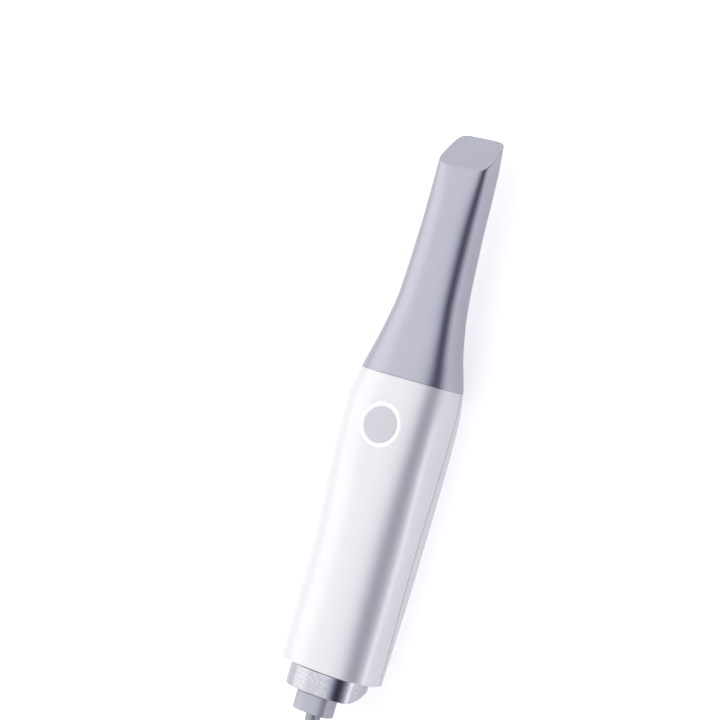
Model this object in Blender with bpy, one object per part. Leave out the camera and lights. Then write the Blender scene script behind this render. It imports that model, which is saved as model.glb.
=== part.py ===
"""Intraoral scanner with a slip-on tip, a push button, a tail ring and its USB lead.

The scanner lies on the flat land of its rear shell, button up. X runs across the handle, Y runs
along it towards the head and Z is up. Places along the handle are distances from its tail face;
the empty called scanner carries everything and moves the model's origin to the middle of its base.
"""

import math

import bmesh
import bpy
from mathutils import Matrix, Vector

# Driving sizes, in metres
HANDLE_LENGTH = 0.1118
TIP_LENGTH = 0.094

# Half widths of the skin, from the tail to the head
TAIL_HALF_WIDTH = 0.0184
GRIP_HALF_WIDTH = 0.0197
SHOULDER_HALF_WIDTH = 0.0204
JOINT_HALF_WIDTH = 0.0181
FLARE_HALF_WIDTH = 0.0142
NECK_HALF_WIDTH = 0.0116
SHANK_HALF_WIDTH = 0.01075
BROW_HALF_WIDTH = 0.0103
END_HALF_WIDTH = 0.0092

# Heights of the button side above the surface that the scanner lies on
TAIL_TOP = 0.0274
GRIP_TOP = 0.0279
SHOULDER_TOP = 0.0301
JOINT_TOP = 0.0280
FLARE_TOP = 0.0258
SHANK_TOP = 0.0246
BROW_TOP = 0.0244
END_TOP = 0.0243

# Heights of the window side; below zero the crowned belly is cut off flat, which makes the oval land
TAIL_BELLY = 0.0010
GRIP_BELLY = -0.0017
SHOULDER_BELLY = -0.0005
CHEST_BELLY = 0.0005
JOINT_BELLY = 0.0022
FLARE_BELLY = 0.0052
NECK_BELLY = 0.0071
SHANK_BELLY = 0.0090
BROW_BELLY = 0.0112
END_BELLY = 0.0120

# Places of those sizes: along the handle from its tail, back from the joint, and along the tip
GRIP_SHARE = 0.4025
SHOULDER_BACK = 0.0258
CHEST_BACK = 0.0118
GRIP_AT = HANDLE_LENGTH * GRIP_SHARE
SHOULDER_AT = HANDLE_LENGTH - SHOULDER_BACK
CHEST_AT = HANDLE_LENGTH - CHEST_BACK
FLARE_AT = 0.015
NECK_AT = 0.032
SHANK_AT = 0.055
BROW_AT = 0.08215

# How square the sections are: 2 is an ellipse, more is squarer
HANDLE_SQUARENESS = 3.05
JOINT_SQUARENESS = 3.5
TIP_SQUARENESS = 5.0

# Parting line between the two shells
PARTING_TAIL = 0.0112
PARTING_MIDDLE = 0.0137
PARTING_JOINT = 0.0123

# Walls, gaps and edges
HANDLE_WALL = 0.0020
TAIL_WALL = 0.0020
FRONT_WALL = 0.0030
TIP_WALL = 0.0014
GAP = 0.0003
CLOSE_GAP = 0.0002
TAIL_ROUNDING = 0.0010
TIP_ROUNDING = 0.0006
SLANT_LENGTH = 0.030

# Head of the tip
WINDOW_HALF_WIDTH = 0.0077
WINDOW_START = 0.0787
WINDOW_END = 0.0912
MIRROR_THICKNESS = 0.0010

# Optics nose that the tip slides over
NOSE_REACH = 0.0460
NOSE_ROOT_HALF_WIDTH = 0.0132
NOSE_ROOT_HALF_HEIGHT = 0.0098
NOSE_WALL = 0.0014
NOSE_FLANGE = 0.0032
COLLAR_LENGTH = 0.0050
SEAL_AT = 0.0020
SEAL_WIDTH = 0.0014
SEAL_DEPTH = 0.0009
GLASS_THICKNESS = 0.0010
GLASS_STEP = 0.0006

# Button, its light ring and the switch under it
BUTTON_BACK = 0.0184
BUTTON_AT = HANDLE_LENGTH - BUTTON_BACK
BUTTON_RADIUS = 0.00694
RING_WIDTH = 0.00135
BUTTON_FIT = 0.00015
RING_DEPTH = 0.0034
BUTTON_SINK = 0.00015
LIP_THICKNESS = 0.0007
LIP_WIDTH = 0.0009
CAP_FLANGE_RADIUS = 0.0077
NUB_RADIUS = 0.0016
NUB_LENGTH = 0.0004
BUTTON_TRAVEL = 0.0005
PLUNGER_RADIUS = 0.0014
PLUNGER_LENGTH = 0.0012
SWITCH_SIZE = 0.0060
SWITCH_HEIGHT = 0.0016
LED_SIZE = 0.0016
LED_HEIGHT = 0.0007
LED_CIRCLE = 0.0083
LED_COUNT = 4
BUTTON_BOARD_HALF_WIDTH = 0.0136
BUTTON_BOARD_HALF_LENGTH = 0.0085
BOARD_THICKNESS = 0.0010
POST_SPACING = 0.0116
POST_RADIUS = 0.0017
SMALL_SCREW_RADIUS = 0.0008
SMALL_HEAD_RADIUS = 0.0014
SMALL_HEAD_HEIGHT = 0.0007

# Optics
OPTIC_HEIGHT = 0.0151
PROJECTOR_RADIUS = 0.0044
CAMERA_RADIUS = 0.0027
CAMERA_SPACING = 0.0083
CARRIER_HALF_WIDTH = 0.0124
CARRIER_HALF_HEIGHT = 0.0055
CARRIER_LENGTH = 0.0160
PROJECTOR_BARREL = 0.0346
CAMERA_BARREL = 0.0284
LENS_RECESS = 0.0014
LENS_RIM = 0.0007
MODULE_HALF_WIDTH = 0.0085
MODULE_LENGTH = 0.0140
MODULE_TOP = 0.0210
FIN_COUNT = 6
FIN_HEIGHT = 0.0032
SINK_BASE = 0.0012
SENSOR_BOARD_WIDTH = 0.0068
SENSOR_BOARD_HEIGHT = 0.0106

# Main board and its fixings
MAIN_BOARD_START = 0.022
MAIN_BOARD_BACK = 0.0338
MAIN_BOARD_LENGTH = HANDLE_LENGTH - MAIN_BOARD_BACK - MAIN_BOARD_START
MAIN_BOARD_HALF_WIDTH = 0.0142
MAIN_BOARD_HEIGHT = 0.0070
MAIN_BOARD_THICKNESS = 0.0014
BOSS_SPACING = 0.0112
BOSS_INSET = 0.0040
BOSS_RADIUS = 0.0026
SCREW_RADIUS = 0.0010
SCREW_HEAD_RADIUS = 0.0019
SCREW_HEAD_HEIGHT = 0.0012
PROCESSOR_SIZE = 0.0140
PROCESSOR_HEIGHT = 0.0015
SOCKET_HALF_WIDTH = 0.0065
SOCKET_LENGTH = 0.0070
SOCKET_HEIGHT = 0.0042
HARNESS_PLUG_LENGTH = 0.0052
HARNESS_RADIUS = 0.0020

# Tail ring and cable gland
RING_LENGTH = 0.0084
RING_HALF_WIDTH = 0.0153
RING_HALF_HEIGHT = 0.0122
RING_SQUARENESS = 2.3
RING_WALL = 0.0030
RING_END_WALL = 0.0018
RING_ROUNDING = 0.0005
RING_FALL = 0.0050
RING_FALL_TOP = 0.0225
RING_FALL_FOOT = 0.0085
SPIGOT_INSET = 0.0021
SPIGOT_LIP = 0.0009
SPIGOT_LIP_LENGTH = 0.0016
GLAND_LENGTH = 0.0057
GLAND_HALF_WIDTH = 0.0072
GLAND_HALF_HEIGHT = 0.0052
GLAND_HEIGHT = 0.0182
GLAND_SQUARENESS = 3.6
GLAND_ROUNDING = 0.0006
GLAND_NECK_INSET = 0.0022
GLAND_LIP_INSET = 0.0014
GLAND_LIP_LENGTH = 0.0010

# Lead, its hank, tie and plug
CABLE_RADIUS = 0.0028
HANK_BACK = 0.0310
HANK_RUN = 0.100
HANK_PINCH = 0.0059
HANK_LAYERS = 3
FOLD_RADIUS = 0.0196
TIE_WIDTH = 0.0120
TIE_THICKNESS = 0.0010
TIE_SPREAD = 0.0007
TIE_SLOT_REACH = 0.030
PLUG_RELIEF_LENGTH = 0.0120
PLUG_BODY_LENGTH = 0.0240
PLUG_HALF_WIDTH = 0.0080
PLUG_HALF_HEIGHT = 0.0039
PLUG_SHELL_LENGTH = 0.0188
PLUG_SHELL_HALF_WIDTH = 0.0060
PLUG_SHELL_HALF_HEIGHT = 0.00225
PLUG_SHEET = 0.0003
PLUG_AWAY = 0.0100

# Facets
SKIN_POINTS = 40
TURNED_SIDES = 24
HARNESS_STEPS = 10

JOINT_AT = HANDLE_LENGTH
TIP_START = HANDLE_LENGTH + GAP
HEAD_END = HANDLE_LENGTH + TIP_LENGTH
STOPS = [
    0.0, GRIP_AT, SHOULDER_AT, CHEST_AT, JOINT_AT, JOINT_AT + FLARE_AT, JOINT_AT + NECK_AT,
    JOINT_AT + SHANK_AT, JOINT_AT + BROW_AT, HEAD_END,
]


def smooth_curve(stops, values):
    """A curve through the values that never overshoots them."""
    steps = [b - a for a, b in zip(stops, stops[1:])]
    rises = [(b - a) / step for a, b, step in zip(values, values[1:], steps)]
    slopes = [rises[0]]
    for before, after in zip(rises, rises[1:]):
        slopes.append(2 * before * after / (before + after) if before * after > 0 else 0.0)
    slopes.append(rises[-1])

    def height(at):
        i = max(k for k in range(len(steps)) if k == 0 or stops[k] <= at)
        t = (at - stops[i]) / steps[i]
        if t < 0 or t > 1:
            t = min(max(t, 0.0), 1.0)
        start = values[i] * (1 + 2 * t) + slopes[i] * steps[i] * t
        end = values[i + 1] * (3 - 2 * t) - slopes[i + 1] * steps[i] * (1 - t)
        return start * (1 - t) ** 2 + end * t**2

    return height


half_width = smooth_curve(STOPS, [
    TAIL_HALF_WIDTH, GRIP_HALF_WIDTH, SHOULDER_HALF_WIDTH, SHOULDER_HALF_WIDTH, JOINT_HALF_WIDTH,
    FLARE_HALF_WIDTH, NECK_HALF_WIDTH, SHANK_HALF_WIDTH, BROW_HALF_WIDTH, END_HALF_WIDTH,
])
top = smooth_curve(STOPS, [
    TAIL_TOP, GRIP_TOP, SHOULDER_TOP, SHOULDER_TOP, JOINT_TOP,
    FLARE_TOP, SHANK_TOP, SHANK_TOP, BROW_TOP, END_TOP,
])
belly = smooth_curve(STOPS, [
    TAIL_BELLY, GRIP_BELLY, SHOULDER_BELLY, CHEST_BELLY, JOINT_BELLY,
    FLARE_BELLY, NECK_BELLY, SHANK_BELLY, BROW_BELLY, END_BELLY,
])
squareness = smooth_curve(
    [0.0, CHEST_AT, JOINT_AT, JOINT_AT + SHANK_AT, HEAD_END],
    [HANDLE_SQUARENESS, HANDLE_SQUARENESS, JOINT_SQUARENESS, TIP_SQUARENESS, TIP_SQUARENESS],
)
parting = smooth_curve([0.0, HANDLE_LENGTH / 2, JOINT_AT], [PARTING_TAIL, PARTING_MIDDLE, PARTING_JOINT])


def unit_ring(square, points=SKIN_POINTS):
    """A rounded square of half width 1, as (across, up) pairs."""
    ring = []
    for i in range(points):
        angle = 2 * math.pi * i / points
        across, up = math.cos(angle), math.sin(angle)
        reach = (abs(across) ** square + abs(up) ** square) ** (-1 / square)
        ring.append((across * reach, up * reach))
    return ring


def skin_point(i, at, inset):
    """One point of the scanner's skin, moved in by inset; the flat land's wall is kept above zero."""
    across, up = unit_rings(at)[i]
    middle = (top(at) + belly(at)) / 2
    x = (half_width(at) - inset) * across
    z = middle + ((top(at) - belly(at)) / 2 - inset) * up
    return Vector((x, at, max(z, inset)))


ring_store = {}


def unit_rings(at):
    """The rounded square at one place along the scanner, worked out once."""
    if at not in ring_store:
        ring_store[at] = unit_ring(squareness(at))
    return ring_store[at]


def skin_top(x, at):
    """Height of the button side at one place off the middle."""
    square = squareness(at)
    share = (1 - (abs(x) / half_width(at)) ** square) ** (1 / square)
    return (top(at) + belly(at)) / 2 + (top(at) - belly(at)) / 2 * share


def skin_ring(at, inset=0.0):
    """The skin's outline square to the handle."""
    return [skin_point(i, at, inset) for i in range(SKIN_POINTS)]


def slant_ring(base, share, inset=0.0):
    """An outline that leans back towards the button side; a share of 1 lies in the head's slanted face."""
    lean = share * (HEAD_END - JOINT_AT - BROW_AT) / (END_TOP - END_BELLY)
    ring = []
    for i in range(SKIN_POINTS):
        at = base
        for _ in range(4):
            point = skin_point(i, at, inset)
            at = base - lean * (point.z - END_BELLY)
        ring.append(Vector((point.x, at, point.z)))
    return ring


def flat_ring(at, half_x, half_z, height, square, points=SKIN_POINTS):
    """A rounded square outline of stated size, square to the handle."""
    return [Vector((half_x * x, at, height + half_z * z)) for x, z in unit_ring(square, points)]


def rounded_stops(start, end, radius, at_start=True, at_end=True):
    """(place, inset) pairs that round the edges at the ends of a loft."""
    turns = [(1 - math.cos(a), 1 - math.sin(a)) for a in (0.0, math.pi / 4, math.pi / 2)]
    pairs = [(start + radius * along, radius * inward) for along, inward in turns] if at_start else [(start, 0.0)]
    if at_end:
        pairs += [(end - radius * along, radius * inward) for along, inward in reversed(turns)]
    else:
        pairs.append((end, 0.0))
    return pairs


def spread(start, end, step):
    """Places from start to end, about a step apart."""
    count = max(1, round((end - start) / step))
    return [start + (end - start) * i / count for i in range(count + 1)]


def material(name, colour, roughness, metallic=0.0, clear=0.0):
    """A plain surface finish."""
    made = bpy.data.materials.new(name)
    made.use_nodes = True
    shader = made.node_tree.nodes["Principled BSDF"]
    shader.inputs["Base Color"].default_value = (*colour, 1.0)
    shader.inputs["Roughness"].default_value = roughness
    shader.inputs["Metallic"].default_value = metallic
    shader.inputs["Transmission Weight"].default_value = clear
    return made


def add_object(name, mesh, finish, parent, where=(0, 0, 0), turn=None):
    """Puts a mesh in the scene under its parent."""
    made = bpy.data.objects.new(name, mesh)
    bpy.context.scene.collection.objects.link(made)
    if finish is not None and not mesh.materials:
        mesh.materials.append(finish)
    made.parent = parent
    made.location = where
    if turn is not None:
        made.rotation_euler = turn
    return made


def shade(mesh, angle=35):
    """Smooth shading that keeps real edges sharp."""
    mesh.shade_smooth()
    mesh.set_sharp_from_angle(angle=math.radians(angle))


def loft(name, rings, finish, parent, hidden=False):
    """A closed body through a row of outlines, with flat ends."""
    shape = bmesh.new()
    rows = [[shape.verts.new(point) for point in ring] for ring in rings]
    for row, following in zip(rows, rows[1:]):
        for i in range(len(row)):
            k = (i + 1) % len(row)
            shape.faces.new((row[i], row[k], following[k], following[i]))
    shape.faces.new(rows[0])
    shape.faces.new(rows[-1])
    bmesh.ops.recalc_face_normals(shape, faces=shape.faces)
    mesh = bpy.data.meshes.new(name)
    shape.to_mesh(mesh)
    shape.free()
    shade(mesh)
    made = add_object(name, mesh, finish, parent)
    if hidden:
        hide(made)
    return made


def turned(name, profile, finish, parent, where, turn=None, closed=False, sides=TURNED_SIDES):
    """A turned body: profile is a row of (radius, height) pairs; a closed profile makes a ring."""
    shape = bmesh.new()
    rows = []
    for radius, height in profile:
        if radius == 0.0:
            rows.append([shape.verts.new((0, 0, height))])
        else:
            rows.append([
                shape.verts.new((
                    radius * math.cos(2 * math.pi * i / sides), radius * math.sin(2 * math.pi * i / sides), height
                ))
                for i in range(sides)
            ])
    pairs = list(zip(rows, rows[1:]))
    if closed:
        pairs.append((rows[-1], rows[0]))
    for row, following in pairs:
        for i in range(sides):
            k = (i + 1) % sides
            if len(row) == 1:
                shape.faces.new((row[0], following[k], following[i]))
            elif len(following) == 1:
                shape.faces.new((row[i], row[k], following[0]))
            else:
                shape.faces.new((row[i], row[k], following[k], following[i]))
    bmesh.ops.recalc_face_normals(shape, faces=shape.faces)
    mesh = bpy.data.meshes.new(name)
    shape.to_mesh(mesh)
    shape.free()
    shade(mesh)
    return add_object(name, mesh, finish, parent, where, turn)


def block(name, low, high, finish, parent, rounding=0.0):
    """A box between two corners, with its edges eased."""
    low, high = Vector(low), Vector(high)
    shape = bmesh.new()
    bmesh.ops.create_cube(shape, size=1.0)
    bmesh.ops.scale(shape, vec=high - low, verts=shape.verts)
    mesh = bpy.data.meshes.new(name)
    shape.to_mesh(mesh)
    shape.free()
    made = add_object(name, mesh, finish, parent, (low + high) / 2)
    if rounding:
        ease = made.modifiers.new("eased edges", "BEVEL")
        ease.width = rounding
        ease.segments = 1
    return made


def hide(cutter):
    """Marks a body that only shapes another one."""
    cutter.hide_render = True
    cutter.display_type = "WIRE"
    return cutter


def shape_with(made, other, operation="DIFFERENCE"):
    """Cuts, joins or trims a body with another one."""
    step = made.modifiers.new(other.name, "BOOLEAN")
    step.operation = operation
    step.object = other
    step.solver = "EXACT"
    return made


def empty(name, parent, where):
    """An axis that pieces hang from."""
    made = bpy.data.objects.new(name, None)
    bpy.context.scene.collection.objects.link(made)
    made.parent = parent
    made.location = where
    return made


def rod(name, radius, start, end, finish, parent, sides=TURNED_SIDES):
    """A plain round body between two heights, upright."""
    profile = [(0.0, 0.0), (radius, 0.0), (radius, end[2] - start[2]), (0.0, end[2] - start[2])]
    return turned(name, profile, finish, parent, start, sides=sides)


def parting_half(name, side, parent):
    """The space above or below the parting line, with half the gap taken off."""
    places = spread(-0.002, HANDLE_LENGTH + 0.002, 0.0090)
    reach = 0.03
    far = side * 0.06
    rings = []
    for x in (-reach, reach):
        line = [Vector((x, at, parting(at) + side * GAP / 2)) for at in places]
        rings.append(line + [Vector((x, places[-1], far)), Vector((x, places[0], far))])
    return loft(name, rings, None, parent, hidden=True)


def make_handle(parent, white):
    """The two shells: one crowned hollow body, parted along its side."""
    stops = rounded_stops(0.0, HANDLE_LENGTH, TAIL_ROUNDING, at_end=False)
    middle = spread(TAIL_ROUNDING, CHEST_AT, 0.0090)[1:] + spread(CHEST_AT, JOINT_AT, 0.004)[1:-1]
    outside = [skin_ring(at, inset) for at, inset in stops[:-1] + [(at, 0.0) for at in middle] + stops[-1:]]
    cavity_end = JOINT_AT - FRONT_WALL
    inside = [skin_ring(at, HANDLE_WALL) for at in spread(TAIL_WALL, CHEST_AT, 0.0140)]
    inside += [skin_ring(at, HANDLE_WALL) for at in spread(CHEST_AT, cavity_end, 0.0045)[1:]]
    cavity = loft("handle_cavity", inside, None, parent, hidden=True)
    nose_hole = loft("nose_hole", [nose_root(at, GAP) for at in (cavity_end - 0.001, JOINT_AT + 0.001)],
                     None, parent, hidden=True)
    spigot_hole = loft("spigot_hole", [ring_outline(at, SPIGOT_INSET - CLOSE_GAP) for at in (-0.001, TAIL_WALL + 0.001)],
                       None, parent, hidden=True)
    shells = []
    for name, side in (("front_shell", 1), ("rear_shell", -1)):
        shell = loft(name, outside, white, parent)
        for cutter in (cavity, nose_hole, spigot_hole):
            shape_with(shell, cutter)
        shape_with(shell, parting_half(name + "_half", side, parent), "INTERSECT")
        shells.append(shell)
    add_front_features(shells[0], parent)
    add_rear_features(shells[1], parent)
    return shells


def add_front_features(shell, parent):
    """The button's hole and the two posts that carry the button board."""
    surface = button_top()
    hole_radius = BUTTON_RADIUS + BUTTON_FIT + RING_WIDTH + BUTTON_FIT
    hole = rod("button_hole", hole_radius, (0, BUTTON_AT, surface - HANDLE_WALL * 2),
               (0, BUTTON_AT, surface + HANDLE_WALL), None, parent)
    shape_with(shell, hide(hole))
    board_top = button_board_top()
    for side in (-1, 1):
        post = cup("post", POST_RADIUS, SMALL_SCREW_RADIUS + CLOSE_GAP / 2, board_top + CLOSE_GAP,
                   post_root() - HANDLE_WALL, post_root(), (side * POST_SPACING, BUTTON_AT), parent)
        shape_with(shell, post, "UNION")


def add_rear_features(shell, parent):
    """The bosses under the main board and the two ribs that cradle the lens carrier."""
    for x, y in boss_places():
        boss = cup("boss", BOSS_RADIUS, SCREW_RADIUS + CLOSE_GAP, MAIN_BOARD_HEIGHT - CLOSE_GAP,
                   HANDLE_WALL * 1.5, HANDLE_WALL * 0.7, (x, y), parent)
        shape_with(shell, boss, "UNION")
    rib_thickness = HANDLE_WALL
    for share in (0.2, 0.8):
        at = carrier_start() + CARRIER_LENGTH * share
        rib = block("rib", (-CARRIER_HALF_WIDTH * 0.8, at - rib_thickness / 2, HANDLE_WALL * 0.8),
                    (CARRIER_HALF_WIDTH * 0.8, at + rib_thickness / 2, OPTIC_HEIGHT - CARRIER_HALF_HEIGHT - GAP),
                    None, parent)
        shape_with(shell, hide(rib), "UNION")


def cup(name, radius, bore, mouth, bore_end, root, where, parent):
    """A round boss with a blind screw hole: mouth, bore_end and root are heights."""
    profile = [(0.0, root), (radius, root), (radius, mouth), (bore, mouth), (bore, bore_end), (0.0, bore_end)]
    return hide(turned(name, profile, None, parent, (*where, 0.0), sides=16))


def boss_places():
    """Where the main board is screwed down."""
    ends = (MAIN_BOARD_START + BOSS_INSET, MAIN_BOARD_START + MAIN_BOARD_LENGTH - BOSS_INSET)
    return [(side * BOSS_SPACING, y) for side in (-1, 1) for y in ends]


def nose_root(at, grow=0.0):
    """The nose's outline where it passes the handle's front wall."""
    height = (JOINT_TOP + JOINT_BELLY) / 2
    return flat_ring(at, NOSE_ROOT_HALF_WIDTH + grow, NOSE_ROOT_HALF_HEIGHT + grow, height, JOINT_SQUARENESS)


def nose_ring(at, inset=0.0):
    """The nose's outline under the tip: its root, or the tip's inside less a gap where that is smaller."""
    room = TIP_WALL + GAP + inset
    half_x = min(NOSE_ROOT_HALF_WIDTH - inset, half_width(at) - room)
    half_z = min(NOSE_ROOT_HALF_HEIGHT - inset, (top(at) - belly(at)) / 2 - room)
    return flat_ring(at, half_x, half_z, (top(at) + belly(at)) / 2, squareness(at))


def make_nose(parent, dark, rubber, glass):
    """The nose: a flange held inside the handle, a collar that seats the tip and a hollow snout."""
    flange_end = JOINT_AT - FRONT_WALL - GAP
    flange_start = flange_end - NOSE_FLANGE
    collar_start = JOINT_AT + GAP
    collar_end = collar_start + COLLAR_LENGTH
    snout_end = JOINT_AT + NOSE_REACH
    seal_start = collar_start + SEAL_AT
    seal_end = seal_start + SEAL_WIDTH
    seat = TIP_WALL + GAP
    groove = seat + SEAL_DEPTH
    outside = [skin_ring(at, HANDLE_WALL + GAP) for at in (flange_start, flange_end)]
    outside += [nose_root(at) for at in (flange_end, collar_start)]
    outside += [skin_ring(collar_start, seat), skin_ring(seal_start, seat), skin_ring(seal_start, groove)]
    outside += [skin_ring(seal_end, groove), skin_ring(seal_end, seat), skin_ring(collar_end, seat)]
    outside += [nose_ring(at) for at in spread(collar_end, snout_end, 0.0068)]
    nose = loft("optics_nose", outside, dark, parent)
    inside = [nose_root(at, -NOSE_WALL) for at in (flange_start - 0.001, collar_end)]
    inside += [nose_ring(at, NOSE_WALL) for at in spread(collar_end, snout_end + 0.001, 0.0105)[1:]]
    shape_with(nose, loft("nose_bore", inside, None, parent, hidden=True))
    step = NOSE_WALL - GLASS_STEP
    glass_seat = snout_end - GLASS_THICKNESS - GAP
    recess = [nose_ring(at, step) for at in (glass_seat, snout_end + 0.001)]
    shape_with(nose, loft("glass_recess", recess, None, parent, hidden=True))
    pane = [nose_ring(at, step + CLOSE_GAP) for at in (glass_seat + CLOSE_GAP, glass_seat + CLOSE_GAP + GLASS_THICKNESS)]
    loft("nose_window", pane, glass, parent)
    make_seal(parent, rubber, seal_start, seal_end, seat, groove)


def make_seal(parent, rubber, start, end, seat, groove):
    """The rubber seal in the collar's groove, a closed band."""
    slack = CLOSE_GAP / 2
    middle = (start + end) / 2
    section = [(start + slack, groove - slack), (start + slack, seat + slack), (middle, seat - slack),
               (end - slack, seat + slack), (end - slack, groove - slack)]
    rows = [skin_ring(at, inset) for at, inset in section]
    shape = bmesh.new()
    rings = [[shape.verts.new(point) for point in row] for row in rows]
    for row, following in zip(rings, rings[1:] + rings[:1]):
        for i in range(SKIN_POINTS):
            k = (i + 1) % SKIN_POINTS
            shape.faces.new((row[i], row[k], following[k], following[i]))
    bmesh.ops.recalc_face_normals(shape, faces=shape.faces)
    mesh = bpy.data.meshes.new("nose_seal")
    shape.to_mesh(mesh)
    shape.free()
    shade(mesh)
    add_object("nose_seal", mesh, rubber, parent)


def make_tip(axis, grey, mirror_glass):
    """The slip-on tip: a hollow sleeve with a slanted head, a window in its belly and a mirror."""
    slant_from = HEAD_END - SLANT_LENGTH
    outside = [skin_ring(at) for at in spread(TIP_START, slant_from, 0.0064)]
    shares = [(i + 1) / 6 for i in range(5)]
    outside += [slant_ring(slant_from + (HEAD_END - TIP_ROUNDING - slant_from) * t, t) for t in shares]
    outside += [slant_ring(HEAD_END - along, 1.0, inset) for along, inset in head_edge()]
    sleeve = loft("tip_sleeve", [in_frame(axis, ring) for ring in outside], grey, axis)
    wall_back = TIP_WALL * 1.4
    floor = HEAD_END - wall_back
    inside = [skin_ring(at, TIP_WALL) for at in spread(TIP_START - 0.001, slant_from, 0.0105)]
    inside += [slant_ring(slant_from + (floor - slant_from) * t, t, TIP_WALL) for t in shares[::2] + [1.0]]
    cavity = loft("tip_cavity", [in_frame(axis, ring) for ring in inside], None, axis, hidden=True)
    shape_with(sleeve, cavity)
    low = Vector((-WINDOW_HALF_WIDTH, JOINT_AT + WINDOW_START, END_BELLY - 0.004))
    high = Vector((WINDOW_HALF_WIDTH, JOINT_AT + WINDOW_END, END_BELLY + TIP_WALL * 1.2))
    window = block("scan_window", low - axis.location, high - axis.location, None, axis)
    shape_with(sleeve, hide(window))
    back = floor - CLOSE_GAP
    pane = [slant_ring(back - along, 1.0, TIP_WALL + GAP) for along in (MIRROR_THICKNESS * 1.4, 0.0)]
    loft("tip_mirror", [in_frame(axis, ring) for ring in pane], mirror_glass, axis)


def head_edge():
    """(distance back, inset) pairs round the edge of the slanted face."""
    return [(TIP_ROUNDING, 0.0), (TIP_ROUNDING * 0.3, TIP_ROUNDING * 0.3), (0.0, TIP_ROUNDING)]


def in_frame(axis, ring):
    """An outline in the frame of a moving piece."""
    return [point - axis.location for point in ring]


def button_top():
    """Height of the button's face, a little under the crown of the shell."""
    return SHOULDER_TOP - BUTTON_SINK


def post_root():
    """How high the button board's posts reach into the wall of the front shell."""
    return skin_top(POST_SPACING + POST_RADIUS, BUTTON_AT) - HANDLE_WALL * 0.4


def button_board_top():
    """Height of the button board: under the cap's nub, the plunger and the switch."""
    nub_end = button_top() - RING_DEPTH - GAP - LIP_THICKNESS - NUB_LENGTH
    plunger_end = nub_end - CLOSE_GAP / 2 - PLUNGER_LENGTH
    return plunger_end - BUTTON_TRAVEL - 0.0006


def make_button(parent, axis, light_grey, glow, black, board_green, steel):
    """The cap, its plunger, the light ring round it and the board with the switch and lamps."""
    surface = button_top()
    flange_top = -RING_DEPTH - GAP
    flange_end = flange_top - LIP_THICKNESS
    nub_end = flange_end - NUB_LENGTH
    crown = 0.0001
    cap = [(0.0, crown), (BUTTON_RADIUS - 0.0004, 0.0), (BUTTON_RADIUS, -0.0003), (BUTTON_RADIUS, flange_top),
           (CAP_FLANGE_RADIUS, flange_top), (CAP_FLANGE_RADIUS, flange_end), (NUB_RADIUS, flange_end),
           (NUB_RADIUS, nub_end), (0.0, nub_end)]
    turned("button_cap", cap, light_grey, axis, (0, 0, 0))
    inner = BUTTON_RADIUS + BUTTON_FIT
    outer = inner + RING_WIDTH
    lip_top = -RING_DEPTH + LIP_THICKNESS
    lip_outer = outer + LIP_WIDTH
    ring = [(inner, 0.0), (outer, 0.0), (outer, lip_top), (lip_outer, lip_top), (lip_outer, -RING_DEPTH),
            (inner, -RING_DEPTH)]
    turned("button_light_ring", ring, glow, parent, (0, BUTTON_AT, surface), closed=True)
    plunger_top = nub_end - CLOSE_GAP / 2
    rod_profile = [(0.0, plunger_top), (PLUNGER_RADIUS, plunger_top), (PLUNGER_RADIUS, plunger_top - PLUNGER_LENGTH),
                   (0.0, plunger_top - PLUNGER_LENGTH)]
    turned("switch_plunger", rod_profile, black, axis, (0, 0, 0), sides=16)
    board_top = button_board_top()
    case_low = board_top + CLOSE_GAP / 2
    half = SWITCH_SIZE / 2
    case = block("switch_case", (-half, BUTTON_AT - half, case_low), (half, BUTTON_AT + half, case_low + SWITCH_HEIGHT),
                 steel, parent)
    well = rod("switch_well", PLUNGER_RADIUS + CLOSE_GAP, (0, BUTTON_AT, case_low + 0.0003),
               (0, BUTTON_AT, case_low + SWITCH_HEIGHT + 0.001), None, parent, 16)
    shape_with(case, hide(well))
    board = block("button_board",
                  (-BUTTON_BOARD_HALF_WIDTH, BUTTON_AT - BUTTON_BOARD_HALF_LENGTH, board_top - BOARD_THICKNESS),
                  (BUTTON_BOARD_HALF_WIDTH, BUTTON_AT + BUTTON_BOARD_HALF_LENGTH, board_top), board_green, parent)
    for k, side in enumerate((-1, 1)):
        where = (side * POST_SPACING, BUTTON_AT)
        hole = rod("button_board_hole", SMALL_SCREW_RADIUS + CLOSE_GAP, (*where, board_top - 0.002),
                   (*where, board_top + 0.001), None, parent, 16)
        shape_with(board, hide(hole))
        under = board_top - BOARD_THICKNESS - CLOSE_GAP / 2
        reach = post_root() - HANDLE_WALL - CLOSE_GAP - under
        screw = [(0.0, -SMALL_HEAD_HEIGHT), (SMALL_HEAD_RADIUS, -SMALL_HEAD_HEIGHT), (SMALL_HEAD_RADIUS, 0.0),
                 (SMALL_SCREW_RADIUS, 0.0), (SMALL_SCREW_RADIUS, reach), (0.0, reach)]
        turned(f"button_screw_{k + 1}", screw, steel, parent, (*where, under), sides=16)
    for k in range(LED_COUNT):
        angle = 2 * math.pi * (k + 0.5) / LED_COUNT
        x, y = LED_CIRCLE * math.cos(angle), BUTTON_AT + LED_CIRCLE * math.sin(angle)
        half = LED_SIZE / 2
        block(f"ring_lamp_{k + 1}", (x - half, y - half, case_low), (x + half, y + half, case_low + LED_HEIGHT),
              glow, parent)


def carrier_start():
    """Where the lens carrier begins, behind the nose's flange."""
    return JOINT_AT - FRONT_WALL - GAP - NOSE_FLANGE - GAP - CARRIER_LENGTH


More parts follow.
